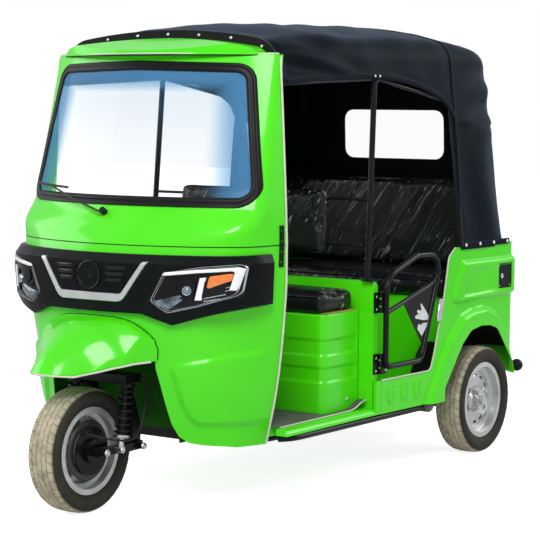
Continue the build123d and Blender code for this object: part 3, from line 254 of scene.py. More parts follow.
def rounded(points, radius, arc=6):
    """A closed outline with each corner swapped for an arc; a radius may be given for each corner."""
    points = np.asarray(points, float)
    radii = np.broadcast_to(radius, len(points))
    line = []
    for k, r in enumerate(radii):
        before, here, after = points[k - 1], points[k], points[(k + 1) % len(points)]
        a, b = before - here, after - here
        la, lb = np.linalg.norm(a), np.linalg.norm(b)
        a, b = a / la, b / lb
        half = np.arccos(np.clip(a @ b, -1, 1)) / 2
        if r <= 0 or half > radians(88):
            line.append(here)
            continue
        reach = min(r / tan(half), 0.48 * la, 0.48 * lb)
        r = reach * tan(half)
        centre = here + (a + b) / np.linalg.norm(a + b) * r / sin(half)
        start, stop = here + a * reach - centre, here + b * reach - centre
        a0, a1 = atan2(start[1], start[0]), atan2(stop[1], stop[0])
        turn = (a1 - a0 + pi) % (2 * pi) - pi
        for s in np.linspace(0, 1, arc):
            line.append(centre + r * np.array([cos(a0 + s * turn), sin(a0 + s * turn)]))
    return np.array(line)


def resampled(line, size, closed=True):
    """Points evenly spaced along a line."""
    line = np.asarray(line, float)
    ring = np.vstack([line, line[:1]]) if closed else line
    run = np.concatenate([[0], np.cumsum(np.linalg.norm(np.diff(ring, axis=0), axis=1))])
    at = steps(0, run[-1], size)
    if closed:
        at = at[:-1]
    return np.stack([np.interp(at, run, ring[:, k]) for k in range(ring.shape[1])], 1)


def at_x(line, x):
    """(y, z) points stood at an x."""
    return np.column_stack([np.broadcast_to(x, len(line)), line])


def at_y(line, y):
    """(x, z) points stood at a y."""
    return np.column_stack([line[:, 0], np.broadcast_to(y, len(line)), line[:, 1]])


def at_z(line, z):
    """(x, y) points stood at a z."""
    return np.column_stack([line, np.broadcast_to(z, len(line))])


def unfolded(line):
    """A half line in (x, z), from the middle outward, made whole."""
    return np.concatenate([line[::-1] * (-1, 1), line[1:]])


def rectangle(u0, u1, v0, v1):
    """The corners of a rectangle, from the low first one round by u."""
    return [(u0, v0), (u1, v0), (u1, v1), (u0, v1)]


def mirrored(points):
    """A half outline, from the bottom centre outward and up, made whole."""
    return list(points) + [(-u, v) for u, v in reversed(points) if u]


def inside_distance(points, outline):
    """Distance to a closed outline, positive inside it and negative outside."""
    p = np.asarray(points, float)[..., None, :]
    a = np.asarray(outline, float)
    b = np.roll(a, -1, axis=0)
    ab = b - a
    t = np.clip(((p - a) * ab).sum(-1) / np.maximum((ab * ab).sum(-1), 1e-9), 0, 1)
    away = np.linalg.norm(p - (a + t[..., None] * ab), axis=-1).min(-1)
    crosses = (a[:, 1] > p[..., 1]) != (b[:, 1] > p[..., 1])
    with np.errstate(divide="ignore", invalid="ignore"):
        at = a[:, 0] + (p[..., 1] - a[:, 1]) * (b[:, 0] - a[:, 0]) / (b[:, 1] - a[:, 1])
    inside = (crosses & (p[..., 0] < at)).sum(-1) % 2 == 1
    return np.where(inside, away, -away)


def raised(points, outline, height, slope):
    """Height of a pressed form: nothing outside its outline, full a slope's width inside it."""
    return height * smooth_step(inside_distance(points, outline) / slope)


# ------------------------------------------------------------------ bars, rings, domes
def frames_along(path, closed=False):
    """Tangents and two cross directions along a path, carried without twist."""
    path = np.asarray(path, float)
    if closed:
        tangent = np.roll(path, -1, axis=0) - np.roll(path, 1, axis=0)
    else:
        tangent = np.gradient(path, axis=0)
    tangent /= np.linalg.norm(tangent, axis=1)[:, None]
    first = np.zeros_like(path)
    start = np.array([0.0, 0, 1]) if abs(tangent[0][2]) < 0.9 else np.array([0.0, 1, 0])
    side = start - tangent[0] * (start @ tangent[0])
    first[0] = side / np.linalg.norm(side)
    for k in range(1, len(path)):
        side = first[k - 1] - tangent[k] * (first[k - 1] @ tangent[k])
        first[k] = side / np.linalg.norm(side)
    return tangent, first, np.cross(tangent, first)


def bar(path, radius, sides=12, closed=False, flat=1.0):
    """A round bar: a circle carried along a path, its ends closed by fans of their own points."""
    path = np.asarray(path, float)
    _, u, v = frames_along(path, closed)
    turn = np.arange(sides) * 2 * pi / sides
    ring = np.cos(turn)[None, :, None] * u[:, None] + flat * np.sin(turn)[None, :, None] * v[:, None]
    grid = path[:, None] + radius * ring
    if not closed:
        grid = np.concatenate([np.repeat(path[:1, None], sides, 1), grid,
                               np.repeat(path[-1:, None], sides, 1)])
    return surface(grid, close_rows=closed, close_columns=True)


def axes_of(direction):
    """Two unit vectors square to a direction."""
    n = np.asarray(direction, float)
    n = n / np.linalg.norm(n)
    a = np.cross(n, [0, 0, 1.0]) if abs(n[2]) < 0.9 else np.cross(n, [1.0, 0, 0])
    a /= np.linalg.norm(a)
    return n, a, np.cross(n, a)


def turned(centre, direction, profile, sides=24):
    """A profile of (height, radius) pairs turned about an axis through a centre."""
    n, a, b = axes_of(direction)
    turn = np.arange(sides) * 2 * pi / sides
    profile = np.asarray(profile, float)
    ring = np.cos(turn)[:, None] * a + np.sin(turn)[:, None] * b
    grid = np.asarray(centre, float) + profile[:, 0, None, None] * n + profile[:, 1, None, None] * ring[None]
    return surface(grid, close_columns=True)


def dome(centre, direction, radius, height, sides=14):
    """A rivet's or snap's head: a short wall and a quarter ellipse turned about its axis."""
    arc = np.linspace(0, pi / 2, 5)
    profile = [(-1, 0), (-1, radius)] + [(height * (0.35 + 0.65 * sin(a)), radius * cos(a)) for a in arc]
    return turned(centre, direction, profile, sides)


def hex_head(centre, direction, across, height):
    """A bolt's head with its washer."""
    r = across / 2 / cos(pi / 6)
    washer = turned(centre, direction, [(-1, 0), (-1, across * 0.72), (1.5, across * 0.72), (1.5, 0)], 18)
    head = turned(centre, direction,
                  [(1, 0), (1, r), (height, r), (height + 0.8, r * 0.86), (height + 0.8, 0)], 6)
    return [washer, head]


def plate(corners, normal, thickness):
    """A flat four-cornered plate with its thickness along a normal."""
    corners = np.asarray(corners, float)
    up = np.asarray(normal, float) * thickness
    points = np.concatenate([corners, corners + up])
    faces = [(3, 2, 1, 0), (4, 5, 6, 7), (0, 1, 5, 4), (1, 2, 6, 5), (2, 3, 7, 6), (3, 0, 4, 7)]
    return points, np.array(faces)


def brick(x0, x1, y0, y1, z0, z1):
    """A small straight block."""
    return plate([(x0, y0, z0), (x1, y0, z0), (x1, y1, z0), (x0, y1, z0)], (0, 0, 1), z1 - z0)


# ------------------------------------------------------------------ shared effects, as shader node groups
def node(tree, kind, inputs=None, **settings):
    """A node with its settings, whose inputs are values or other nodes' outputs."""
    made = tree.nodes.new(kind)
    for key, value in settings.items():
        setattr(made, key, value)
    for key, value in (inputs or {}).items():
        if isinstance(value, bpy.types.NodeSocket):
            tree.links.new(value, made.inputs[key])
        else:
            made.inputs[key].default_value = value
    return made


def effect(name, inputs, outputs):
    """A new group, its inputs' outlets and its outputs' inlets: inputs are numbers, outputs name a kind."""
    tree = bpy.data.node_groups.new(name, "ShaderNodeTree")
    for label, default in inputs.items():
        made = tree.interface.new_socket(label, in_out="INPUT", socket_type="NodeSocketFloat")
        made.default_value = default
    for label, kind in outputs.items():
        tree.interface.new_socket(label, in_out="OUTPUT", socket_type="NodeSocket" + kind)
    return tree, tree.nodes.new("NodeGroupInput").outputs, tree.nodes.new("NodeGroupOutput").inputs


def ramp(tree, value, low, high, to_low=0.0, to_high=1.0):
    """A value between low and high turned into one between to_low and to_high."""
    limits = {"Value": value, "From Min": low, "From Max": high, "To Min": to_low, "To Max": to_high}
    return node(tree, "ShaderNodeMapRange", limits, clamp=True).outputs["Result"]


def maths(tree, operation, a, b, **settings):
    """Two values multiplied, or the greater of them."""
    return node(tree, "ShaderNodeMath", {0: a, 1: b}, operation=operation, **settings).outputs[0]


def noise(tree, vector, scale, detail, **more):
    """The value of a cloud of noise."""
    return node(tree, "ShaderNodeTexNoise",
                {"Vector": vector, "Scale": scale, "Detail": detail, **more}).outputs["Fac"]


def dents(tree, height, strength, distance, **more):
    """The normal of a surface dented by a height."""
    return node(tree, "ShaderNodeBump",
                {"Height": height, "Strength": strength, "Distance": distance, **more}).outputs["Normal"]


def drawn_out(tree, space, turn, size):
    """Coordinates turned and drawn out, for streaks."""
    return node(tree, "ShaderNodeMapping", {"Vector": space, "Rotation": turn, "Scale": size},
                vector_type="TEXTURE").outputs["Vector"]


def use(tree, group, **inputs):
    """The outputs of a group's node."""
    return node(tree, "ShaderNodeGroup", inputs, node_tree=group).outputs


def object_space(tree):
    """The shader's coordinates in the object's own space."""
    return node(tree, "ShaderNodeTexCoord").outputs["Object"]


def blend_colour(tree, share, a, b):
    """A colour between a and b, by a share."""
    return node(tree, "ShaderNodeMix", {0: share, 6: a, 7: b}, data_type="RGBA").outputs[2]


def tone_group():
    """Slow drift of a finish's tone over the object: a share from 0 to 1."""
    tree, given, out = effect("tone_drift", {"Size": 3.0}, {"Share": "Float"})
    cloud = noise(tree, object_space(tree), given["Size"], 3.0, Roughness=0.55)
    tree.links.new(ramp(tree, cloud, 0.35, 0.65), out["Share"])
    return tree


def grain_group():
    """Fine pebble grain of moulded plastic, as a normal."""
    tree, given, out = effect("moulded_grain", {"Scale": 900.0, "Depth": 0.1}, {"Normal": "Vector"})
    cloud = noise(tree, object_space(tree), given["Scale"], 2.0)
    tree.links.new(dents(tree, cloud, given["Depth"], 0.0004), out["Normal"])
    return tree


def weave_group():
    """Coated cloth: crossed threads under a skin, and slack shallow waves."""
    tree, given, out = effect("coated_weave", {"Slack": 0.4}, {"Normal": "Vector"})
    space = object_space(tree)
    waves = dents(tree, noise(tree, space, 7.0, 3.0, Roughness=0.5), given["Slack"], 0.012)
    grain = node(tree, "ShaderNodeTexVoronoi", {"Vector": space, "Scale": 750.0}).outputs["Distance"]
    tree.links.new(dents(tree, grain, 0.25, 0.0004, Normal=waves), out["Normal"])
    return tree


def film_group():
    """Loose clear film over a seat: soft folds as a normal, and a mask of sparse long strokes for painted
    glints, highlights painted into the seat's colour.
    """
    tree, given, out = effect("loose_film", {"Depth": 1.0}, {"Normal": "Vector", "PaintedGlint": "Float"})
    space = object_space(tree)
    folds = noise(tree, drawn_out(tree, space, (0.3, 0.55, 0.25), (0.066, 0.08, 0.33)), 1.0, 3.0,
                  Roughness=0.55, Distortion=0.5)
    strokes = noise(tree, drawn_out(tree, space, (0.35, 0.5, 0.3), (0.012, 0.02, 0.26)), 1.0, 2.0)
    patches = noise(tree, space, 5.0, 1.0)
    # painted glint: sparse long strokes where the patches allow, which the seat's finish paints pale as
    # highlights
    painted_glint = maths(tree, "MULTIPLY", ramp(tree, strokes, 0.635, 0.69), ramp(tree, patches, 0.48, 0.60))
    tree.links.new(dents(tree, folds, given["Depth"], 0.012), out["Normal"])
    tree.links.new(painted_glint, out["PaintedGlint"])
    return tree


def dirt_group():
    """Dried road dust: thick where the mesh's own dust attribute is high, broken up by noise."""
    tree, given, out = effect("road_dust", {"Amount": 1.0}, {"Share": "Float"})
    laid = node(tree, "ShaderNodeAttribute", attribute_name="dust").outputs["Fac"]
    cloud = noise(tree, object_space(tree), 26.0, 6.0, Roughness=0.7)
    broken = maths(tree, "MULTIPLY", laid, ramp(tree, cloud, 0.25, 0.6, 0.45, 1.0))
    tree.links.new(maths(tree, "MULTIPLY", broken, given["Amount"], use_clamp=True), out["Share"])
    return tree


TONE, GRAIN, WEAVE, FILM, DIRT = tone_group(), grain_group(), weave_group(), film_group(), dirt_group()


# ------------------------------------------------------------------ finishes
def shader_of(made):
    """A material's node tree and its Principled shader."""
    return made.node_tree, made.node_tree.nodes["Principled BSDF"]


def new_material(name):
    """A material with its node tree and its Principled shader."""
    made = bpy.data.materials.new(name)
    made.use_nodes = True
    return made, *shader_of(made)


def give(shader, values):
    """Set a node's inputs by their names."""
    for key, value in values.items():
        shader.inputs[key].default_value = value


def finish(name, colour, other=None, rough=0.5, metal=0.0, coat=0.0, coat_rough=0.05, specular=0.5, size=3.0,
           grain=None, depth=0.1):
    """A Principled finish whose colour drifts from one shade to another, with an optional grain."""
    made, tree, shader = new_material(name)
    give(shader, {"Metallic": metal, "Roughness": rough, "Coat Weight": coat, "Coat Roughness": coat_rough,
                  "Specular IOR Level": specular})
    colour = (*colour, 1.0)
    other = (*other, 1.0) if other else tuple(c * 0.86 for c in colour[:3]) + (1.0,)
    drift = use(tree, TONE, Size=size)["Share"]
    tree.links.new(blend_colour(tree, drift, colour, other), shader.inputs["Base Color"])
    if grain:
        tree.links.new(use(tree, GRAIN, Scale=grain, Depth=depth)["Normal"], shader.inputs["Normal"])
    return made


GREEN = finish("lime_gloss", (0.074, 0.690, 0.005), (0.062, 0.640, 0.004), rough=0.36, coat=0.5,
               coat_rough=0.11,
               specular=0.12, size=2.0, grain=260.0, depth=0.03)
BLACK_STEEL = finish("black_enamel", (0.005, 0.005, 0.006), (0.008, 0.008, 0.009), rough=0.25, specular=0.14,
                     coat=0.04, size=9.0)
BAND_BLACK = finish("satin_band_black", (0.0028, 0.004, 0.0045), (0.005, 0.0064, 0.007), rough=0.34,
                    specular=0.07,
                    coat=0.02, coat_rough=0.2, grain=1300.0, depth=0.05)
PLASTIC = finish("moulded_black", (0.004, 0.005, 0.005), (0.007, 0.008, 0.008), rough=0.45, specular=0.12,
                 grain=900.0, depth=0.12)
LINER = finish("liner_black", (0.005, 0.005, 0.005), (0.011, 0.010, 0.009), rough=0.75, specular=0.06,
               size=7.0, grain=600.0)
RUBBER = finish("seal_rubber", (0.004, 0.004, 0.005), (0.007, 0.007, 0.008), rough=0.4, specular=0.16,
                grain=1500.0, depth=0.08)
# painted shade: the lime paint darkened for the wheel well's inner wall, which sits in shade
SHADED_GREEN = finish("well_green_painted_shade", (0.016, 0.150, 0.003), (0.006, 0.050, 0.002), rough=0.6, specular=0.1,
                      size=3.0, grain=400.0)
HOSE_RUBBER = finish("hose_black", (0.010, 0.010, 0.011), (0.018, 0.018, 0.019), rough=0.4, specular=0.2,
                     grain=1100.0)
CREAM = finish("cream_edging", (0.62, 0.60, 0.52), (0.55, 0.53, 0.45), rough=0.5, size=11.0)
ZINC = finish("bright_zinc", (0.70, 0.71, 0.72), (0.55, 0.56, 0.58), rough=0.3, metal=1.0, size=40.0,
              grain=500.0)
SATIN_SILVER = finish("satin_silver", (0.72, 0.73, 0.74), (0.64, 0.65, 0.66), rough=0.28, metal=0.85,
                      size=8.0)
RIM_SILVER = finish("rim_silver_paint", (0.60, 0.61, 0.62), (0.47, 0.47, 0.46), rough=0.34, metal=0.75,
                    coat=0.2,
                    size=14.0, grain=700.0, depth=0.08)
CAST = finish("cast_alloy", (0.36, 0.36, 0.35), (0.22, 0.21, 0.20), rough=0.55, metal=0.8, size=20.0,
              grain=260.0, depth=0.5)
MUFFLER_STEEL = finish("muffler_steel", (0.20, 0.18, 0.165), (0.11, 0.085, 0.07), rough=0.5, metal=0.7,
                       size=12.0, grain=500.0, depth=0.3)
LAMP_BLACK = finish("lamp_gloss_black", (0.003, 0.0035, 0.004), (0.006, 0.007, 0.008), rough=0.12, coat=0.3,
                    coat_rough=0.02, specular=0.15)
LAMP_WHITE = finish("lamp_white", (0.86, 0.87, 0.88), (0.80, 0.82, 0.84), rough=0.2, coat=0.6, size=20.0)
LAMP_SILVER = finish("lamp_silver", (0.52, 0.55, 0.58), (0.40, 0.43, 0.47), rough=0.2, metal=0.7, size=20.0)
LAMP_FACET = finish("lamp_facet", (0.20, 0.27, 0.32), (0.02, 0.03, 0.04), rough=0.14, metal=0.3, coat=0.5,
                    size=16.0)
AMBER = finish("amber_lens", (0.83, 0.23, 0.03), (0.74, 0.17, 0.02), rough=0.22, coat=0.8, size=30.0)
RED_LENS = finish("red_lens", (0.42, 0.010, 0.008), (0.32, 0.006, 0.005), rough=0.25, coat=0.2, specular=0.15,
                  size=20.0)
PLATE_WHITE = finish("plate_white", (0.74, 0.74, 0.72), (0.68, 0.68, 0.66), rough=0.45, size=6.0)
GRAPHIC_WHITE = finish("graphic_white", (0.66, 0.68, 0.70), (0.56, 0.58, 0.60), rough=0.45, size=25.0)
MUSTARD = finish("mustard_strip", (0.36, 0.34, 0.06), (0.22, 0.19, 0.04), rough=0.7, size=14.0, grain=500.0,
                 depth=0.3)
STITCH = finish("stitch_grey", (0.075, 0.078, 0.085), (0.05, 0.052, 0.058), rough=0.75, size=40.0)
BRAKE_LINING = finish("drum_black", (0.012, 0.012, 0.012), (0.022, 0.021, 0.019), rough=0.4, coat=0.15,
                      size=14.0)
MAT_RUBBER = finish("floor_mat", (0.100, 0.096, 0.086), (0.060, 0.060, 0.056), rough=0.6, size=6.0,
                    grain=800.0)


def vinyl_finish():
    """Canopy cloth: a navy black coated weave whose tone drifts a little bluer in places, under a blue sheen.
    """
    made = finish("canopy_vinyl", (0.0022, 0.0036, 0.0050), (0.0030, 0.0052, 0.0080), rough=0.5,
                  specular=0.03, size=4.0)
    tree, shader = shader_of(made)
    give(shader, {"Sheen Weight": 0.12, "Sheen Roughness": 0.35, "Sheen Tint": (0.25, 0.5, 0.9, 1.0)})
    tree.links.new(use(tree, WEAVE, Slack=0.30)["Normal"], shader.inputs["Normal"])
    return made


def film_finish():
    """Seat cover: black vinyl under loose clear film, with painted glints: pale grey strokes blended into the
    base colour as highlights on its creases.
    """
    made = finish("filmed_seat_vinyl", (0.004, 0.0045, 0.005), (0.007, 0.007, 0.008), rough=0.5, specular=0.1,
                  coat=0.4, coat_rough=0.1, size=6.0)
    tree, shader = shader_of(made)
    film = use(tree, FILM, Depth=0.8)
    tree.links.new(film["Normal"], shader.inputs["Coat Normal"])
    base = shader.inputs["Base Color"].links[0].from_socket
    # painted highlight: the glint mask blends the base colour toward pale grey
    painted_glint = maths(tree, "MULTIPLY", film["PaintedGlint"], 0.6)
    tree.links.new(blend_colour(tree, painted_glint, base, (0.42, 0.43, 0.45, 1.0)), shader.inputs["Base Color"])
    return made


def tyre_finish(name, dust_colour):
    """Tyre rubber under road dust, by the mesh's dust attribute."""
    made = finish(name, (0.005, 0.005, 0.005), (0.010, 0.010, 0.009), rough=0.5, specular=0.15, size=9.0,
                  grain=700.0, depth=0.2)
    tree, shader = shader_of(made)
    dust = use(tree, DIRT, Amount=1.0)["Share"]
    base = shader.inputs["Base Color"].links[0].from_socket
    tree.links.new(blend_colour(tree, dust, base, (*dust_colour, 1.0)), shader.inputs["Base Color"])
    tree.links.new(ramp(tree, dust, 0.0, 1.0, 0.6, 0.92), shader.inputs["Roughness"])
    return made


def glass_finish(name, colour, edge, painted_reflection_colour):
    """Tinted sheet glass; the edge attribute deepens its tint toward the rim and mixes in a painted sky
    reflection there, a diffuse sky-coloured shader.
    """
    made = finish(name, colour, rough=0.02, specular=0.12)
    tree, shader = shader_of(made)
    give(shader, {"Transmission Weight": 1.0, "IOR": 1.12})
    rim = node(tree, "ShaderNodeAttribute", attribute_name="edge").outputs["Fac"]
    tree.links.new(blend_colour(tree, rim, (*colour, 1.0), (*edge, 1.0)), shader.inputs["Base Color"])
    clear = node(tree, "ShaderNodeBsdfTransparent", {"Color": (*colour, 1.0)})
    shadow = node(tree, "ShaderNodeLightPath").outputs["Is Shadow Ray"]
    # painted reflection: a diffuse shader in the sky's colour, mixed in up to 42% by the edge attribute
    painted_reflection = node(tree, "ShaderNodeBsdfDiffuse", {"Color": (*painted_reflection_colour, 1.0)})
    glass_and_painted_reflection = node(tree, "ShaderNodeMixShader",
                  {0: maths(tree, "MULTIPLY", rim, 0.42), 1: shader.outputs[0], 2: painted_reflection.outputs[0]})
    mixed = node(tree, "ShaderNodeMixShader", {0: shadow, 1: glass_and_painted_reflection.outputs[0], 2: clear.outputs[0]})
    tree.links.new(mixed.outputs[0], tree.nodes["Material Output"].inputs["Surface"])
    return made


VINYL = vinyl_finish()
SEAT_FILM = film_finish()
DUSTY_TYRE = tyre_finish("dusty_tyre", (0.50, 0.44, 0.32))
# each pane's last colour is its painted sky reflection
WINDSHIELD = glass_finish("windshield_tint", (0.95, 0.98, 0.99), (0.34, 0.56, 0.72), (0.10, 0.27, 0.46))
CLEAR_PANE = glass_finish("clear_pane", (0.97, 0.97, 0.97), (0.9, 0.9, 0.9), (0.3, 0.3, 0.3))


# ------------------------------------------------------------------ the cowl's form
def circles(row, grow=0.0):
    """Centres and radii of the three circles that make one side of a section of the cowl.

    The front circle stands on the middle line, the side circle ends at COWL_BACK with the given lean,
    and the corner circle touches both from within.
    """
    nose, front_r, corner_r, half, lean, side_r = np.asarray(row, float).T
    lean = np.radians(lean)
    front = np.stack([0 * nose, nose + front_r], -1)
    side = np.stack([half - side_r * np.cos(lean), COWL_BACK + side_r * np.sin(lean)], -1)
    near, far = front_r - corner_r, side_r - corner_r
    line = side - front
    d = np.linalg.norm(line, axis=-1)
    u = line / d[..., None]
    along = (near ** 2 - far ** 2 + d ** 2) / (2 * d)
    away = np.sqrt(np.maximum(near ** 2 - along ** 2, 0))
    options = [front + u * along[..., None] + sign * np.stack([-u[..., 1], u[..., 0]], -1) * away[..., None]
               for sign in (1, -1)]
    corner = np.where((options[0][..., 1] < options[1][..., 1])[..., None], options[0], options[1])
    return front, front_r + grow, corner, corner_r + grow, side, side_r + grow, lean


SPLITS = (34, 18, 26)   # points along the front, corner and side arcs


def rows_at(rows, heights):
    """The section's sizes at each height: the black band's rows are joined straight, the cowl's smoothly."""
    if rows is BAND_ROWS:
        columns = np.array(rows, float).T
        return np.stack([np.interp(heights, columns[0], column) for column in columns[1:]], -1)
    return table(rows, heights)


def half_section(rows, grow=0.0):
    """(x, y) along one side of each row's section, from the middle line to the back edge."""
    front, front_r, corner, corner_r, side, side_r, lean = circles(rows, grow)
    first = np.arctan2(*(corner - front)[..., ::-1].T)
    second = np.arctan2(*(corner - side)[..., ::-1].T)
    parts = []
    for centre, radius, start, stop, count, last in (
            (front, front_r, 0 * first - pi / 2, first, SPLITS[0], False),
            (corner, corner_r, first, second, SPLITS[1], False),
            (side, side_r, second, -lean, SPLITS[2], True)):
        share = np.linspace(0, 1, count, endpoint=last)
        angle = start[..., None] + share * (stop - start)[..., None]
        reach = np.broadcast_to(radius, first.shape)[..., None, None]
        parts.append(centre[..., None, :] + np.stack([np.cos(angle), np.sin(angle)], -1) * reach)
    return np.concatenate(parts, -2)


def cowl_grid(rows, heights, grow=0.0):
    """The whole front, from the right back edge across the nose to the left one, at each height."""
    heights = np.asarray(heights, float)
    half = half_section(rows_at(rows, heights), grow)
    whole = np.concatenate([half[:, :0:-1] * (-1, 1), half], 1)
    z = np.broadcast_to(heights[:, None, None], whole.shape[:2] + (1,))
    return np.concatenate([whole, z], -1)


def runs(grid):
    """Signed distance along each row of a grid from its middle column."""
    step = np.linalg.norm(np.diff(grid, axis=1), axis=-1)
    run = np.concatenate([np.zeros((len(grid), 1)), np.cumsum(step, 1)], 1)
    return run - run[:, run.shape[1] // 2][:, None]


def normals_of(grid):
    """Unit normals of a grid of points, from its neighbours."""
    normal = np.cross(np.gradient(grid, axis=1), np.gradient(grid, axis=0))
    return normal / np.maximum(np.linalg.norm(normal, axis=-1), 1e-9)[..., None]


def cut(obj, tools):
    """Cut closed solids, given as (points, faces), out of an object."""
    for points, faces in tools:
        mesh = polygon_mesh("cutter", points, faces)
        outward(mesh)
        tool = bpy.data.objects.new("cutter", mesh)
        bpy.context.scene.collection.objects.link(tool)
        hole = obj.modifiers.new("opening", "BOOLEAN")
        hole.operation, hole.solver, hole.object = "DIFFERENCE", "EXACT", tool
        bpy.context.evaluated_depsgraph_get().update()
        settle(obj)
        bpy.data.objects.remove(tool)
        bpy.data.meshes.remove(mesh)


def block_through(outline, axis, near, far, middle=None):
    """A straight prism of a closed outline: outlines are (x, z) along y, or (y, z) along x.

    Its ends are fans of triangles from the middle, which has every point of the outline in plain sight.
    """
    line = np.asarray(outline, float)
    spot = np.broadcast_to(line.mean(0) if middle is None else middle, line.shape)
    rows = []
    for flat, at in ((spot, near), (line, near), (line, far), (spot, far)):
        fixed = np.full(len(line), float(at))
        rows.append(np.stack([flat[:, 0], fixed, flat[:, 1]] if axis == "y"
                             else [fixed, flat[:, 0], flat[:, 1]], -1))
    return surface(np.stack(rows), close_columns=True)


COWL_PANEL = [(309, 551), (335, 575), (540, 610), (735, 618), (738, 318), (540, 319), (448, 322), (386, 327),
              (358, 355), (338, 403), (321, 483)]        # (distance round the cowl from its middle, z)
MOUTH = [(478, 222), (424, 242), (366, 251), (326, 262), (302, 286), (285, 334), (275, 406), (264, 484),
         (252, 545), (250, 640)]


def make_cowl():
    """Lower and upper cowl: sheets through the section rows, with a soft raised panel on each lower side.

    point(s, z) = section(z)(s) + normal * height of the raised panel at (|s|, z).
    """
    heights = steps(COWL_BOTTOM, COWL_SEAM, 7)
    grid = cowl_grid(COWL_ROWS, heights)
    plan = np.stack([np.abs(runs(grid)), grid[..., 2]], -1)
    rise = raised(plan, rounded(COWL_PANEL, 34), 13, 24) * smooth_step((742 - plan[..., 0]) / 120)
    edge = smooth_step((runs(grid)[:, -1:] - plan[..., 0]) / 4)
    grid = grid + normals_of(grid) * (rise - 1.2 * (1 - edge))[..., None]
    mesh = polygon_mesh("cowl_front_lower", *surface(grid))
    lower = piece("cowl_front_lower", mesh, GREEN, "body", ("cowl_lower",))
    thicken(lower, 4)
    cut(lower, [block_through(rounded(mirrored(MOUTH), 14), "y", 0, 440, (0, 222.5))])
    soften(lower.data, 30)

    heights = steps(COWL_SEAM + 2.5, COWL_TOP, 8)
    grid = cowl_grid(COWL_ROWS, heights)
    mesh = polygon_mesh("cowl_front_upper", *surface(grid))
    upper = piece("cowl_front_upper", mesh, GREEN, "body", ("cowl_upper",))
    thicken(upper, 4)
    opening = rounded(mirrored([(554, 1160), (466, 1678), (0, 1690)]), [62, 62, 0, 62, 62])
    cut(upper, [block_through(opening, "y", 0, 480)])
    soften(upper.data, 30)


def on_cowl(x, z, grow=0.0, rows=COWL_ROWS):
    """The point of the front face at a given x and z, and its outward normal."""
    x, z = np.broadcast_arrays(np.asarray(x, float), np.asarray(z, float))
    shape = x.shape
    x, z = x.ravel(), z.ravel()

    def level(at_z):
        """y of the face at each x, at the given heights."""
        half = half_section(rows_at(rows, at_z), grow)
        return np.array([np.interp(abs(a), line[:, 0], line[:, 1]) for a, line in zip(x, half)])

    y = level(z)
    half = half_section(rows_at(rows, z), grow)
    ahead = np.array([np.interp(abs(a) + 1.0, line[:, 0], line[:, 1]) for a, line in zip(x, half)])
    slope_x = (ahead - y) * np.sign(x)
    slope_z = (level(z + 1.0) - level(z - 1.0)) / 2
    normal = np.stack([slope_x, -np.ones_like(y), slope_z], -1)
    normal /= np.linalg.norm(normal, axis=-1)[..., None]
    return np.stack([x, y, z], -1).reshape(shape + (3,)), normal.reshape(shape + (3,))


def inlay(outline, low, high, crown):
    """A closed shape laid on the band: its wall from low to high, its top crowned toward the middle."""
    line = resampled(outline, 5)
    middle = line.mean(0)
    layers = [on_cowl(*line.T, height, BAND_ROWS)[0] for height in (low, high)]
    for share in np.linspace(0, 1, 6)[1:]:
        inner = line + (middle - line) * share
        layers.append(on_cowl(*inner.T, high + crown * sin(share * pi / 2), BAND_ROWS)[0])
    return surface(np.array(layers), close_columns=True)


def capped(grid):
    """A tube of rings, each end closed by a fan to its ring's middle."""
    ends = [np.broadcast_to(end.mean(0), end.shape) for end in (grid[0], grid[-1])]
    return surface(np.concatenate([ends[0][None], grid, ends[1][None]]), close_columns=True)


def inlay_strip(outer, inner, profile):
    """A strip on the band between two lines in (x, z).

    Profile pairs are (-1 on the outer line to 1 on the inner one, height over the face).
    """
    outer, inner = resampled(outer, 5.0, False), resampled(inner, 5.0, False)
    share = np.linspace(0, 1, len(outer))
    inner = np.stack([np.interp(share, np.linspace(0, 1, len(inner)), inner[:, k]) for k in (0, 1)], 1)
    layers = []
    for across, lift in profile:
        spot = outer + (inner - outer) * (across + 1) / 2
        layers.append(on_cowl(*spot.T, lift, BAND_ROWS)[0])
    return capped(np.array(layers).transpose(1, 0, 2))


def moulding(line, profile, rows=COWL_ROWS, closed=True, size=8.0):
    """A strip with a cross section of (offset across, height over the face), laid along a line in (x, z)."""
    line = resampled(line, size, closed)
    ahead = np.roll(line, -1, axis=0) - np.roll(line, 1, axis=0) if closed else np.gradient(line, axis=0)
    ahead /= np.linalg.norm(ahead, axis=1)[:, None]
    beside = np.stack([-ahead[:, 1], ahead[:, 0]], -1)
    layers = []
    for across, height in profile:
        layers.append(on_cowl(*(line + beside * across).T, height, rows)[0])
    grid = np.array(layers).transpose(1, 0, 2)
    if closed:
        return surface(grid, close_rows=True, close_columns=True)
    return capped(grid)


def set_mask(mesh, name, values):
    """A named value at every point of a mesh, for its finish to read."""
    layer = mesh.attributes.new(name, "FLOAT", "POINT")
    layer.data.foreach_set("value", np.asarray(values, np.float32))


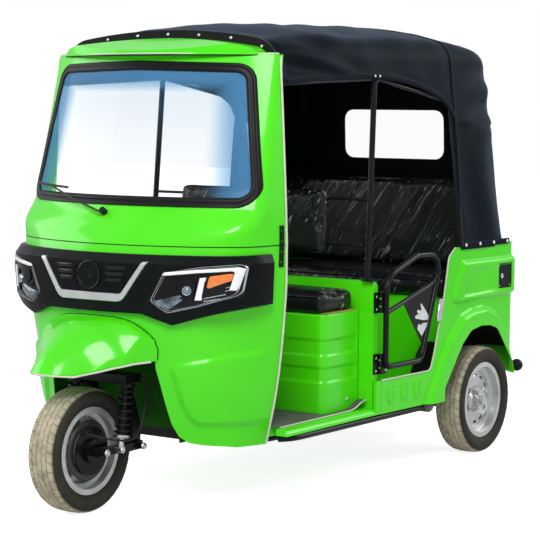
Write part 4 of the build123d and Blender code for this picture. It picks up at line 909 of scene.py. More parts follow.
def make_windshield():
    """The bowed pane and its ridged rubber seal."""
    outline = rounded(mirrored([(530, 1178), (443, 1655), (0, 1667)]), [48, 48, 0, 48, 48])
    line = resampled(outline, 12)
    middle = np.array([0.0, 1420.0])
    shares = np.linspace(0, 1, 26)
    layers = [on_cowl(*(line + (middle - line) * s).T, -3.5)[0] for s in shares[::-1]]
    layers += [on_cowl(*(line + (middle - line) * s).T, 0.5)[0] for s in shares]
    mesh = polygon_mesh("windshield_pane", *surface(np.array(layers), close_columns=True))
    outward(mesh)
    points = np.empty(len(mesh.vertices) * 3)
    mesh.vertices.foreach_get("co", points)
    x, _, z = points.reshape(-1, 3).T / MM
    half = np.interp(z, (1178, 1655), (530, 443))
    # mask for the deeper tint and the painted sky reflection: the sides, the top, and a little over the upper
    # half
    edge = np.maximum(smooth_step((np.abs(x) / half - 0.66) / 0.3), smooth_step((z - 1560) / 80))
    edge = np.maximum(edge, 0.12 * smooth_step((z - 1300) / 300))
    set_mask(mesh, "edge", edge)
    piece("windshield_pane", mesh, WINDSHIELD, "body", ("windshield_glass",), 60)

    seal_line = rounded(mirrored([(546, 1166), (458, 1669), (0, 1680)]), [58, 58, 0, 58, 58], 9)
    section = [(-17, -3), (-17.5, 3), (-14, 7), (-8, 7.5), (-4, 4.5), (-1, 4), (3, 7.5), (9, 8.5), (15, 6),
               (19, 1), (19, -1), (0, -1), (-8, -5)]
    solid_piece("windshield_rubber", [moulding(seal_line, section)], RUBBER, "body",
                ("windshield_seal",), 50)


def make_nose_details():
    """What stands on the black band: seams, the bright U, the ringed disc, and each lamp's strips."""
    seams = []
    for side in (1, -1):
        seams.append(moulding([(side * 236, 757), (side * 258, 806), (side * 318, 912), (side * 340, 968)],
                              [(-1.4, -0.5), (-1.4, 0.5), (1.4, 0.5), (1.4, -0.5)], BAND_ROWS, False))
    solid_piece("band_seams", seams, RUBBER, "body")

    outer = resampled(rounded([(-258, 951), (-150, 798), (150, 798), (258, 951)], [0, 46, 46, 0], 14), 6,
                      False)
    inner = resampled(rounded([(-236, 951), (-146, 828), (146, 828), (236, 951)], [0, 22, 22, 0], 14), 6,
                      False)
    u_strip = inlay_strip(outer, inner, [(-1, -1), (-1, 5), (-0.84, 7.5), (0.84, 7.5), (1, 5), (1, -1)])
    solid_piece("grille_bright_u", [u_strip], SATIN_SILVER, "body",
                ("grille_trim",))
    centre, normal = on_cowl(0.0, 893.0, 0, BAND_ROWS)
    disc = turned(centre, normal, [(-1, 0), (-1, 54), (5, 54), (7, 52), (7, 48), (5.5, 46.5), (5.5, 0)], 64)
    ring = turned(centre, normal, [(5, 50.4), (7.4, 51), (7.8, 52), (7, 53.6), (4, 54.4), (4, 50.4)], 64)
    boss = turned(centre, normal, [(5, 0), (5, 17), (7.5, 15), (7.5, 11), (6.2, 9), (6.2, 0)], 40)
    solid_piece("nose_disc", [disc, boss], BAND_BLACK, "body")
    solid_piece("nose_disc_ring", [ring], LAMP_BLACK, "body")
    slats = [inlay(rounded([(78, z - 6), (166 - k * 9, z - 6), (172 - k * 9, z + 6), (78, z + 6)], 5, 4),
                   -2, 4.5, 2) for k, z in enumerate((924, 901, 878))]
    solid_piece("nose_slats", both(slats), LAMP_BLACK, "body")

    lines, whites, ribs = [], [], []
    edge = rounded([(264, 808), (318, 914), (450, 940), (566, 950), (552, 832), (440, 790), (330, 762)],
                   [10, 26, 40, 16, 34, 60, 26], 7)
    for scale, width in ((0.965, 2.0), (0.90, 1.3)):
        middle = edge.mean(0)
        lines.append(moulding(middle + (edge - middle) * scale, [(-width / 2, -2.5), (-width / 2, 0.6),
                                                                 (width / 2, 0.6), (width / 2, -2.5)],
                              BAND_ROWS))
    lit = [(-1, -2), (-1, 4), (-0.6, 6), (0.6, 6), (1, 4), (1, -2)]
    whites.append(inlay_strip([(318, 906), (326, 916), (440, 928), (548, 936), (556, 928), (540, 850)],
                              [(318, 906), (330, 904), (440, 916), (532, 922), (538, 916), (524, 852)], lit))
    whites.append(inlay_strip([(448, 898), (432, 816)], [(464, 900), (450, 816)], lit))
    amber = inlay(rounded([(476, 904), (536, 914), (528, 886), (466, 856)], 5, 4), -2, 4.5, 2)
    for k in range(4):
        ribs.append(moulding([(462 - 2 * k, 842 - 10 * k), (536 - 12 * k, 868 - 16 * k)],
                             [(-1.6, -2), (-1.6, 2.4), (1.6, 2.4), (1.6, -2)], BAND_ROWS, False, 6))
    facet = inlay(rounded([(284, 808), (384, 834), (392, 816), (344, 780), (300, 792)], 6, 4), -2, 2.5, 3)
    centre, normal = on_cowl(404.0, 850.0, -2, BAND_ROWS)
    ring = turned(centre, normal, [(0, 12), (6, 12.5), (7.5, 14), (7, 16.5), (3, 18), (0, 18)], 40)
    arc = np.linspace(0, pi / 2, 8)
    lens = turned(centre, normal, [(0, 0), (0, 12)] + [(3 + 6 * sin(a), 12 * cos(a)) for a in arc], 40)
    for name, parts, colour, angle in (
            ("lamp_outlines", lines, LAMP_SILVER, 35), ("lamp_light_strips", whites, LAMP_WHITE, 35),
            ("lamp_indicators", [amber], AMBER, 35), ("lamp_ribs", ribs, LAMP_SILVER, 35),
            ("lamp_facets", [facet], LAMP_FACET, 35), ("lamp_projector_rings", [ring], LAMP_SILVER, 35),
            ("lamp_projectors", [lens], LAMP_FACET, 60)):
        solid_piece(name, both(parts), colour, "body", angle=angle)


def make_cowl_edging():
    """Seam strip across the cowl, and cream piping at its rear edges."""
    grid = cowl_grid(COWL_ROWS, [COWL_SEAM + 1.2], 0.4)[0]
    seam = bar(grid[2:-2:2], 1.8, 6)
    solid_piece("cowl_seam", [seam], RUBBER, "body")

    heights = np.concatenate([np.linspace(COWL_BOTTOM + 4, COWL_SEAM, 60),
                              np.linspace(COWL_SEAM + 6, 1712, 60)])
    half = half_section(rows_at(COWL_ROWS, heights), 1.5)[:, -1]
    line = np.stack([half[:, 0] + 1.0, half[:, 1] - 2, heights], -1)
    solid_piece("cowl_back_piping", both([bar(line, 4.2, 8)]), CREAM, "body")


FENDER_ROWS = (
    (-262, 520, 30, 508, 2), (-240, 538, 50, 520, 2), (-195, 600, 80, 540, 2), (-106, 670, 140, 548, 2.2),
    (-4, 726, 208, 601, 2.7), (80, 740, 220, 694, 3.6), (140, 744, 220, 696, 3.7), )
FENDER_RIM = [(-300, 551), (-226, 545), (-155, 537), (-77, 552), (-25, 564), (40, 574), (160, 580)]
FENDER_TIP, FENDER_TIP_R, FENDER_SPREAD = -300, 90, 34.6


def fender_half(y):
    """Half width of the fender's pointed plan: a round tip, then straight sides that spread."""
    spread = radians(FENDER_SPREAD)
    tip = FENDER_TIP + FENDER_TIP_R / sin(spread)
    joint = tip - FENDER_TIP_R * sin(spread)
    circle = np.sqrt(np.maximum(FENDER_TIP_R ** 2 - (y - tip) ** 2, 0))
    return np.where(y < joint, circle, (y - FENDER_TIP) * tan(spread) - 0.266 * np.maximum(y, 0))


def make_fender():
    """The beaked front fender.

    A point at (y, t), t from -1 to 1 across, has x = t * plan half(y) and z = top - (top - low) *
    (|x| / half) ** power, which squares the arch toward the cowl; below it a skirt drops to the rim line.
    """
    tip = FENDER_TIP + FENDER_TIP_R / sin(radians(FENDER_SPREAD)) - FENDER_TIP_R
    ys = np.concatenate([tip + 0.4 + 62 * np.linspace(0, 1, 16) ** 2, steps(tip + 68, 170, 8)])
    ts = np.sin(np.linspace(-1, 1, 61) * pi / 2)
    rows = table(FENDER_ROWS, np.clip(ys, -262, 140))
    back = np.clip((ys - 140) / 30, 0, 1)
    top, half, low, power = rows[:, 0], rows[:, 1], rows[:, 2], rows[:, 3:]
    top = top + back * 2
    width = fender_half(ys)
    x = ts[None] * width[:, None]
    z = top[:, None] - (top - low)[:, None] * (np.abs(x) / half[:, None]) ** power
    rim = np.interp(ys, *np.array(FENDER_RIM, float).T)[:, None]
    z = np.maximum(z, rim + 2)
    crease = 1.6 * smooth_step(1 - np.abs(np.abs(x) - 0.72 * width[:, None]) / 26)
    z = z + crease * smooth_step((ys[:, None] + 215) / 60) * smooth_step((z - rim) / 20)
    shell = np.stack([x, np.broadcast_to(ys[:, None], x.shape), z], -1)
    skirts = []
    for column, sign in ((0, -1), (-1, 1)):
        side = shell[:, column]
        drop = np.linspace(0, 1, 14)[None, :, None]
        foot = np.stack([side[:, 0], side[:, 1], rim[:, 0]], -1)
        wall = side[:, None] + drop * (foot - side)[:, None]
        wall[..., 0] += sign * 3.5 * np.sin(drop[..., 0] * pi) * smooth_step((ys[:, None] + 250) / 60)
        skirts.append(wall if sign > 0 else wall[:, ::-1])
    grid = np.concatenate([skirts[0][:, :-1], shell, skirts[1][:, 1:]], 1)
    mesh = polygon_mesh("beak_fender", *surface(grid))
    obj = piece("beak_fender", mesh, GREEN, "body", ("front_fender",))
    thicken(obj, 3)
    soften(obj.data, 50)
    meet = []
    for column in range(1, grid.shape[1] - 1):
        line = grid[:, column]
        face = on_cowl(line[:, 0], line[:, 2], 0)[0][:, 1]
        ahead = np.nonzero(line[:, 1] < face)[0]
        if 0 < len(ahead) < len(line):
            meet.append(line[ahead[-1]] + (0, 2, 0))
    solid_piece("fender_gap_line", [bar(resampled(np.array(meet), 10, False), 2.6, 6)], RUBBER, "body")
    edge = np.concatenate([grid[::-1, 0], grid[0, 1:-1], grid[:, -1]]) - (0, 0, 1)
    keep = edge[np.concatenate([[True], np.linalg.norm(np.diff(edge, axis=0), axis=1) > 1.0])]
    keep = resampled(keep[keep[:, 1] < 110], 9, False)
    solid_piece("fender_rim_piping", [bar(keep, 4.0, 8)], CREAM, "body")


# ------------------------------------------------------------------ canopy
# columns: y, crown height, crown radius, shoulder radius, half width at the base, base height, lean
HOOPS = (
    (CANOPY_FRONT, 1819, 2700, 120, 553, 1590, 18),
    (860, 1845, 2250, 114, 565, 1545, 11),
    (MIDDLE_BOW, 1862, 1900, 110, 578, 1500, 7),
    (1500, 1868, 1900, 110, 577, 1500, 6.4),
    (LAST_BOW, 1872, 1900, 110, 575.5, 1500, 6),
    (WHEELBASE - 47, 1866, 1900, 110, 575.5, 1500, 6),
    (WHEELBASE + 293, 1850, 1900, 110, 575.5, 1500, 6), )
QUARTER_ROWS = 34
QUARTER_TOP, QUARTER_LOW = 1462, 913      # z of the quarters' top edge and of their hem
HEM = [(CANOPY_FRONT, 1606), (800, 1628), (1170, 1640), (1400, 1626), (1580, 1592), (1690, 1556),
       (1760, 1514), (LAST_BOW, QUARTER_TOP)]
BACK_WALL_Y = WHEELBASE + 254
WALL_HALF = 20          # columns of the back wall on each side of its middle
WINDOW_HALF, WINDOW_LOW, WINDOW_TOP, WINDOW_LAP = 268, 1285, 1510, 6
FOOT_HALF = 637         # half width of the canopy where it comes down to the body


HOOP_COUNTS = (40, 16, 30)      # points over the crown, round the shoulder and down the side
HOOP_TURNED = HOOP_COUNTS[0] + HOOP_COUNTS[1]
SHOULDER = 44                   # the point where the shoulder's stitching runs


def hoop_line(row, foot):
    """(x, z) and outward normals from the crown's middle over the shoulder to a foot height."""
    top, crown_r, r, half, base, lean = row
    lean = radians(lean)
    crown_z = top - crown_r
    px, pz = half - r * cos(lean), base - r * sin(lean)
    dx, dz = -sin(lean), cos(lean)
    b = px * dx + (pz - crown_z) * dz
    run = sqrt(b * b - px ** 2 - (pz - crown_z) ** 2 + (crown_r - r) ** 2) - b
    cx, cz = px + run * dx, pz + run * dz
    meet = atan2(cz - crown_z, cx)
    crown = np.linspace(pi / 2, meet, HOOP_COUNTS[0], endpoint=False)
    shoulder = np.linspace(meet, lean, HOOP_COUNTS[1], endpoint=False)
    line = [np.stack([crown_r * np.cos(crown), crown_z + crown_r * np.sin(crown)], -1),
            np.stack([cx + r * np.cos(shoulder), cz + r * np.sin(shoulder)], -1)]
    start = np.array([cx + r * cos(lean), cz + r * sin(lean)])
    fall = (start[1] - foot) / cos(lean) * np.linspace(0, 1, HOOP_COUNTS[2])[:, None]
    line.append(start + fall * np.array([sin(lean), -cos(lean)]))
    angles = np.concatenate([crown, shoulder, np.full(HOOP_COUNTS[2], lean)])
    return np.concatenate(line), np.stack([np.cos(angles), np.sin(angles)], -1)


def body_half(y):
    """Half width of the rear body at a y."""
    return BODY_HALF + (y - BULKHEAD_Y) / (BODY_BACK - BULKHEAD_Y) * (BODY_HALF_BACK - BODY_HALF)


def meet_body(points):
    """Draw the canopy's quarter in toward the body's top edge as it comes down to it."""
    x, y, z = points[..., 0], points[..., 1], points[..., 2]
    stand = FOOT_HALF - (body_half(np.clip(y, LAST_BOW, BODY_BACK)) + 6)
    share = smooth_step((1420 - z) / 500)
    scale = 1 - stand * share / FOOT_HALF
    return np.stack([x * scale, y, z], -1)


def back_wall_y(z):
    """y of the canopy's back wall, which leans, at a z."""
    return BACK_WALL_Y + np.interp(z, (911, 1270, 1900), (22, 0, -30))


def slack(points):
    """Height of the cloth's slack: shallow bays between the bows and long ripples from the corners."""
    x, y, z = points[..., 0], points[..., 1], points[..., 2]
    high = np.clip((z - 1560) / 200, 0, 1)
    bays = -7 * np.abs(np.sin((y - MIDDLE_BOW) / (LAST_BOW - MIDDLE_BOW) * pi)) * high * (y < LAST_BOW)
    ahead = np.clip((y - CANOPY_FRONT) / (MIDDLE_BOW - CANOPY_FRONT), 0, 1)
    bays += -5 * np.sin(ahead * pi) * (y < MIDDLE_BOW) * high
    side = np.clip((1835 - z) / 120, 0, 1)
    pull = 3.0 * np.sin(x / 37 + y / 61) * np.sin(z / 83 + y / 140)
    fold = 11.0 * np.sin((y * 0.55 + z * 1.9) / 42 + 1.3 * np.sin(y / 170)) * smooth_step((1180 - y) / 500)
    lobe = 9.0 * (1 + np.cos((z - 1515 + 20 * np.sin(y / 90)) / 24)) * smooth_step((y - 1860) / 220)
    lobe = lobe * smooth_step((z - 1370) / 110) * smooth_step((1860 - z) / 60)
    rise = 4.5 * np.sin(y / 52 + 0.6 * np.sin(z / 90)) * (y > 1810) * smooth_step((1700 - z) / 200)
    at = np.linspace(CANOPY_FRONT, LAST_BOW, 90)
    foot = np.where(y < LAST_BOW, np.interp(y, at, table(HEM, at)[:, 0]), QUARTER_LOW)
    return bays + (pull + (fold + rise) * side + lobe) * smooth_step((z - foot) / 60)


def canopy_rows():
    """Stations from the front hoop back over the roof, then round the rear corners to the back wall.

    Past the last bow a station is a step of the turn from side to back: its points lie on an inset of
    the hoop that is cos(turn) of the corner's radius out and sin(turn) of it back.
    """
    ys = np.concatenate([steps(CANOPY_FRONT, LAST_BOW, 22), steps(LAST_BOW, WHEELBASE - 8, 24)[1:]])
    rows = table(HOOPS, ys)
    feet = table(HEM, np.minimum(ys, LAST_BOW))[:, 0]
    roof, quarter = [], []

    def low_part(row, start):
        """(x, z) down the quarter's side from the roof's last point."""
        line, _ = hoop_line(row, QUARTER_LOW)
        z = np.linspace(start[1], QUARTER_LOW, QUARTER_ROWS)
        return np.stack([np.interp(-z, -line[HOOP_TURNED:, 1], line[HOOP_TURNED:, 0]), z], -1)

    for y, row, foot in zip(ys, rows, feet):
        line, _ = hoop_line(row, foot)
        roof.append(at_y(line, y))
        if y >= LAST_BOW:
            quarter.append(at_y(low_part(row, line[-1]), y))
    line, normal = hoop_line(rows[-1], QUARTER_TOP)
    low = low_part(rows[-1], line[-1])
    lean = radians(rows[-1][5])
    whole = np.concatenate([line, low[1:]])
    normals = np.concatenate([normal, np.broadcast_to((cos(lean), sin(lean)), (QUARTER_ROWS - 1, 2))])
    steep = np.clip((normals[:, 1] - 0.2) / 0.8, 0, 1) ** 1.5
    inset_x = 104 + 26 * steep
    inset_z = 104 + 66 * steep
    for turn in np.linspace(0, pi / 2, 15)[1:]:
        out = 1 - cos(turn)
        x = whole[:, 0] - normals[:, 0] * inset_x * out
        z = whole[:, 1] - normals[:, 1] * inset_z * out
        y = ys[-1] + (back_wall_y(z) - ys[-1]) * sin(turn)
        points = np.column_stack([np.maximum(x, 0), y, z])
        roof.append(points[:len(line)])
        quarter.append(points[len(line) - 1:])
    return np.array(roof), np.array(quarter)


def make_canopy():
    """One sheet: roof and sides to the hem, rear quarters, and the back wall with its window's hole."""
    roof, quarter = canopy_rows()
    bottom = np.concatenate([roof[-1], quarter[-1][1:]])
    across = np.linspace(-1, 1, 2 * WALL_HALF + 1)
    low = bottom[WALL_HALF + 1:]
    size = len(low), len(across)
    wall = np.stack([low[:, :1] * across, np.broadcast_to(low[:, 1:2], size),
                     np.broadcast_to(low[:, 2:], size)], -1)
    wall[..., 1] += 4 * (1 - across ** 2)[None] * smooth_step((low[:, 2:] - 950) / 200)
    wall = np.concatenate([np.concatenate([bottom[WALL_HALF::-1] * (-1, 1, 1),
                                           bottom[1:WALL_HALF + 1]])[None], wall])
    moved = meet_body(roof)
    whole = np.concatenate([moved[:, ::-1] * (-1, 1, 1), moved[:, 1:]], 1)
    whole = whole + normals_of(whole) * -slack(whole)[..., None] * edge_ease(whole)
    moved = meet_body(quarter)
    normal = normals_of(moved)
    side = np.sign(normal[..., :1] + 1e-6)
    bent = moved + normal * slack(moved)[..., None] * edge_ease(moved) * side
    bent[:, 0] = whole[-len(quarter):, -1]
    parts = [surface(whole[:, ::-1]), *both([surface(bent)]), surface(meet_body(wall))]
    mesh = polygon_mesh("canopy_sheet", *merged(parts))
    outward(mesh, merge=4e-4)
    obj = piece("canopy_sheet", mesh, VINYL, "body", ("canopy_roof", "canopy_rear"), 60)
    thicken(obj, 3.5)
    window = rounded(rectangle(-WINDOW_HALF, WINDOW_HALF, WINDOW_LOW, WINDOW_TOP), 45)
    cut(obj, [block_through(window, "y", BACK_WALL_Y - 70, BACK_WALL_Y + 70)])
    soften(obj.data, 60)
    return obj


def edge_ease(points):
    """Nought along the canopy's fixed edges, one away from them."""
    y, z = points[..., 1], points[..., 2]
    return (smooth_step((y - CANOPY_FRONT) / 40) * smooth_step((back_wall_y(z) - y) / 50))[..., None]


def make_rear_window():
    """The clear pane in the back wall, with round corners, laid along the wall's slope."""
    half = WINDOW_HALF + WINDOW_LAP
    edge = rectangle(-half, half, WINDOW_LOW - WINDOW_LAP, WINDOW_TOP + WINDOW_LAP)
    edge, middle = resampled(rounded(edge, 50), 12), (0, (WINDOW_LOW + WINDOW_TOP) / 2)
    layers = []
    for scale, off in ((0, -3), (1, -3), (1, -5.5), (0, -5.5)):
        line = middle + (edge - middle) * scale
        layers.append(at_y(line, back_wall_y(line[:, 1]) + off))
    pane = [surface(np.stack(layers), close_columns=True)]
    solid_piece("rear_window_pane", pane, CLEAR_PANE, "body", ("rear_window",))


# ------------------------------------------------------------------ rear sides
ARCH_FLARE = [(-473, 308), (-321, 535), (-209, 633), (-117, 656), (-10, 660), (98, 625), (178, 534),
              (262, 352), (268, 150), (-560, 150)]
ARCH_HOLE = [(-367, 200), (-367, 330), (-223, 508), (-153, 560), (-67, 574), (12, 569), (76, 550), (246, 350),
             (246, 200)]
RAISED = [(-298, 677), (-198, 868), (474, 868), (474, 692)]
RECESS = [(-228, 703), (-130, 829), (250, 829), (250, 716)]
DOOR_EDGE = [(1562, 414), (1593, 492), (1666, 726), (1702, 890), (1752, 925), (1800, 960)]
DOOR_HOLE = [(1150, 414), *DOOR_EDGE, (1150, 960)]
DIMPLES, DIMPLE_WIDE = (1240, 1340, 1440), 34
HINGE_ZS = (480, 732)
LID = (WHEELBASE + 105, WHEELBASE + 215, 725, 826)


def by_axle(points):
    """(y, z) points measured from the rear axle, put in the vehicle's y."""
    return [(y + WHEELBASE, z) for y, z in points]


def round_the_corner(u, stand):
    """(x, y) and normals of the body's plan: u is y along the side, then the distance on round the corner."""
    slope = (BODY_HALF_BACK - BODY_HALF) / (BODY_BACK - BULKHEAD_Y)
    lean = atan2(slope, 1)
    side_end = BODY_BACK - BODY_CORNER_R * (1 + sin(lean)) / cos(lean) * cos(lean)
    x_end = body_half(side_end)
    centre = np.array([x_end - BODY_CORNER_R * cos(lean), side_end + BODY_CORNER_R * sin(lean)])
    turn = np.clip((u - side_end) / BODY_CORNER_R, 0, pi / 2 + lean) - lean
    nx, ny = np.cos(turn), np.sin(turn)
    past = np.maximum(u - side_end - BODY_CORNER_R * (pi / 2 + lean), 0)
    x = np.where(u < side_end, body_half(u), centre[0] + BODY_CORNER_R * nx - past)
    y = np.where(u < side_end, u, centre[1] + BODY_CORNER_R * ny)
    return np.stack([x + stand * nx, y + stand * ny], -1)


def side_height(u, z):
    """How far the side stands off its plain plan at (u, z): the flare, the raised panel and the dimples."""
    plan = np.stack([u, z], -1)
    flare = rounded(by_axle(ARCH_FLARE), 40, 5)
    height = 28 * smooth_step((inside_distance(plan, flare) + 1) / 30)
    panel = raised(plan, rounded(by_axle(RAISED), 30), 16, 20) * smooth_step((BODY_BACK + 62 - u) / 50)
    recess = raised(plan, rounded(by_axle(RECESS), 20), 8, 13) * smooth_step((WHEELBASE + 175 - u) / 190)
    recess *= smooth_step((u - WHEELBASE + 260) / 60)
    height = np.maximum(height, panel - recess)
    for y in DIMPLES:
        dimple = [(y, 312), (y, 384), (y + DIMPLE_WIDE, 384), (y + DIMPLE_WIDE, 312)]
        height = np.maximum(height, raised(plan, rounded(dimple, 14), 5, 9))
    return height


def make_sides():
    """Both rear sides, each one pressed sheet from the bulkhead round the corner to the back."""
    us = steps(PANEL_FRONT, BODY_BACK - 80, 6.5)
    us = np.concatenate([us, steps(BODY_BACK - 80, BODY_BACK + 128, 5)[1:]])
    zs = steps(BODY_LOW, BODY_TOP, 6.5)
    u, z = np.meshgrid(us, zs, indexing="ij")
    plan = round_the_corner(u, side_height(u, z))
    grid = np.concatenate([plan, z[..., None]], -1)
    mesh = polygon_mesh("side_left", *surface(grid[:, ::-1]))
    left = piece("side_left", mesh, GREEN, "body", ("side_panel_left",))
    thicken(left, 3)
    y0, y1, z0, z1 = LID
    tail = [(WHEELBASE - 7, 200), (WHEELBASE - 7, TAIL_LOW), (2700, TAIL_LOW), (2700, 200)]
    lid_hole = rounded(rectangle(y0 - 2, y1 + 2, z0 - 2, z1 + 2), 8)
    door_hole = rounded(DOOR_HOLE, [0, 34, 60, 90, 40, 0, 0, 0])
    arch_hole = rounded(by_axle(ARCH_HOLE), [0, 40, 60, 60, 80, 60, 60, 40, 0])
    cut(left, [block_through(hole, "x", near, 760)
               for hole, near in ((door_hole, 470), (arch_hole, 470), (tail, 380), (lid_hole, 470))])
    soften(left.data, 32)
    mirror = left.data.copy()
    mirror.name = "side_right"
    points = np.empty(len(mirror.vertices) * 3, np.float32)
    mirror.vertices.foreach_get("co", points)
    points[::3] *= -1
    mirror.vertices.foreach_set("co", points)
    mirror.flip_normals()
    mirror.materials.clear()
    piece("side_right", mirror, GREEN, "body", ("side_panel_right",), 32)

    edge = rounded([(1187, 414), *DOOR_EDGE[:-1]], [0, 34, 60, 90, 40, 0])
    edge = resampled(edge, 10, False)
    line = np.column_stack([round_the_corner(edge[:, 0], 1.0), edge[:, 1]])
    solid_piece("door_opening_piping", both([bar(line, 3.2, 8)]), CREAM, "body")
    rims = []
    for y in DIMPLES:
        back = y + DIMPLE_WIDE + 2
        slot = resampled(rounded([(y - 2, 310), (y - 2, 386), (back, 386), (back, 310)], 18), 5)
        rims.append(bar(at_x(slot, body_half(slot[:, 0]) + 1.2), 3.0, 8, closed=True))
    solid_piece("side_slot_rims", both(rims), GREEN, "body")
    lid = []
    for y, z in ((y0 + 9, z0 + 9), (y1 - 9, z0 + 9)):
        x = body_half(y) + 12
        lid.append(dome((x, y, z), (1, 0, 0), 3.2, 2))
    lock = turned((body_half(y0 + 26) + 12, y0 + 26, z0 + 52), (1, 0, 0),
                  [(-1, 0), (-1, 11), (3, 11), (4.5, 9), (4.5, 5), (3, 4), (3, 0)], 28)
    solid_piece("lid_screws", lid, ZINC, "filler_lid")
    solid_piece("lid_lock", [lock], ZINC, "filler_lid")


# ------------------------------------------------------------------ seats
def pillow(size, centre, crown, corner):
    """A closed cushion: a box whose six faces bulge by crown and whose edges are rounded.

    Each point of a cube's surface grid is scaled to the box; its edges are rounded by pushing points
    inside a smaller box outward by the corner radius.
    """
    half = np.array(size, float) / 2
    parts = []
    a = np.linspace(-1, 1, 26)
    a = np.sin(a * pi / 2) * 0.5 + a * 0.5
    u, v = np.meshgrid(a, a, indexing="ij")
    for axis in range(3):
        for sign in (-1, 1):
            cube = np.empty(u.shape + (3,))
            cube[..., axis] = sign
            cube[..., (axis + 1) % 3] = u if sign > 0 else v
            cube[..., (axis + 2) % 3] = v if sign > 0 else u
            box = cube * half
            core = np.clip(box, -(half - corner), half - corner)
            away = box - core
            away /= np.maximum(np.linalg.norm(away, axis=-1), 1e-9)[..., None]
            soft = core + away * corner
            fall = 1 - (soft / half) ** 2
            bulge = np.array(crown) * fall[..., [1, 0, 0]] * fall[..., [2, 2, 1]]
            soft = soft + np.sign(soft) * bulge * (np.abs(soft) / half) ** 4
            parts.append(surface(soft + np.array(centre, float)))
    return parts


def stuff(obj, pressure, reach):
    """Let the cover swell a little under pressure, then even its mesh; no point moves more than reach."""
    remesh = obj.modifiers.new("even", "REMESH")
    remesh.mode, remesh.voxel_size = "VOXEL", 0.008
    settle(obj)
    count = len(obj.data.vertices)
    before = np.empty(count * 3, np.float32)
    obj.data.vertices.foreach_get("co", before)
    cloth = obj.modifiers.new("cover", "CLOTH")
    cloth.settings.quality = 6
    cloth.settings.mass = 0.4
    cloth.settings.tension_stiffness = cloth.settings.compression_stiffness = 18
    cloth.settings.bending_stiffness = 0.6
    cloth.settings.shrink_min = -0.035
    cloth.settings.use_pressure = True
    cloth.settings.uniform_pressure_force = pressure
    cloth.settings.effector_weights.gravity = 0
    cloth.point_cache.frame_start, cloth.point_cache.frame_end = 1, 16
    scene = bpy.context.scene
    for step in range(1, 17):
        scene.frame_set(step)
    settle(obj)
    scene.frame_set(1)
    after = np.empty(count * 3, np.float32)
    obj.data.vertices.foreach_get("co", after)
    move = (after - before).reshape(-1, 3)
    length = np.linalg.norm(move, axis=1)
    move *= np.minimum(1, reach * MM / np.maximum(length, 1e-9))[:, None]
    obj.data.vertices.foreach_set("co", (before.reshape(-1, 3) + move).ravel())
    obj.data.update()


def turn_points(points, origin, lean):
    """Lean points back about an axis along x through an origin (y, z)."""
    points = np.array(points, float)
    y, z = points[..., 1] - origin[0], points[..., 2] - origin[1]
    lean = radians(lean)
    points[..., 1] = origin[0] + y * cos(lean) + z * sin(lean)
    points[..., 2] = origin[1] - y * sin(lean) + z * cos(lean)
    return points


CUSHIONS = {
    # name: node, greatest depth, crown, corner radius, lean in degrees
    "driver_seat_pad": ("driver_cushion", 236, (3, 4, 5), 30, 0),
    "driver_back_pad": ("driver_backrest", 62, (3, 4, 3), 24, 3.2),
    "rear_seat_pad": ("rear_cushion", 405, (4, 5, 5), 32, 0),
    "rear_back_pad": ("rear_backrest", 72, (4, 4, 4), 28, 0), }


def make_seats():
    """Four padded covers with piped seams, and the strip below the driver's cushion."""
    for name, (node_name, depth, crown, corner, lean) in CUSHIONS.items():
        low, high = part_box(node_name)
        low, high = np.array(low) / MM, np.array(high) / MM
        centre = np.array([0, (low[1] + high[1]) / 2 - AXLE_Y / MM, (low[2] + high[2]) / 2])
        size = np.array([high[0] - low[0] - 6, min(depth, high[1] - low[1] - 4), high[2] - low[2] - 6])
        parts = pillow(size, centre, crown, corner)
        parts = [(turn_points(p, (centre[1], centre[2]), lean), f) for p, f in parts]
        mesh = polygon_mesh(name, *merged(parts))
        outward(mesh)
        obj = piece(name, mesh, SEAT_FILM, "body", (node_name,), 80)
        stuff(obj, 2.5, 5.0)
        obj.data.shade_smooth()
        half = size / 2 - (1, 1, 1)
        plan = rounded(rectangle(-half[0], half[0], -half[1], half[1]), min(corner, half[1] * 0.6))
        if name.endswith("seat_pad"):
            line = at_z(plan + (0, centre[1]), centre[2] + half[2] * 0.52)
        else:
            plan = rounded(rectangle(-half[0], half[0], -half[2], half[2]), 30)
            line = at_y(plan + (0, centre[2]), centre[1] - half[1] * 0.5)
            line = turn_points(line, (centre[1], centre[2]), lean)
        line = resampled(line, 16)
        solid_piece(name + "_piping", [bar(line, 3.2, 6, closed=True)], VINYL, "body")
    strip = [brick(-508, 508, 912, 1124, 700.6, 706)]
    solid_piece("seat_front_strip", strip, MUSTARD, "body")


# ------------------------------------------------------------------ wheels and springs
TYRE_STEPS, TYRE_LUGS = 480, 40
BEAD_HALF, BEAD_R = 46, 152
TYRE_PROFILE = [(0, TYRE_R), (14, 235.8), (30, 235), (46, 232.6), (56, 228), (63, 219), (67, 208),
                (66.6, 197), (63, 184), (56, 172), (49.5, 164), (46.5, 157), (BEAD_HALF, BEAD_R)]


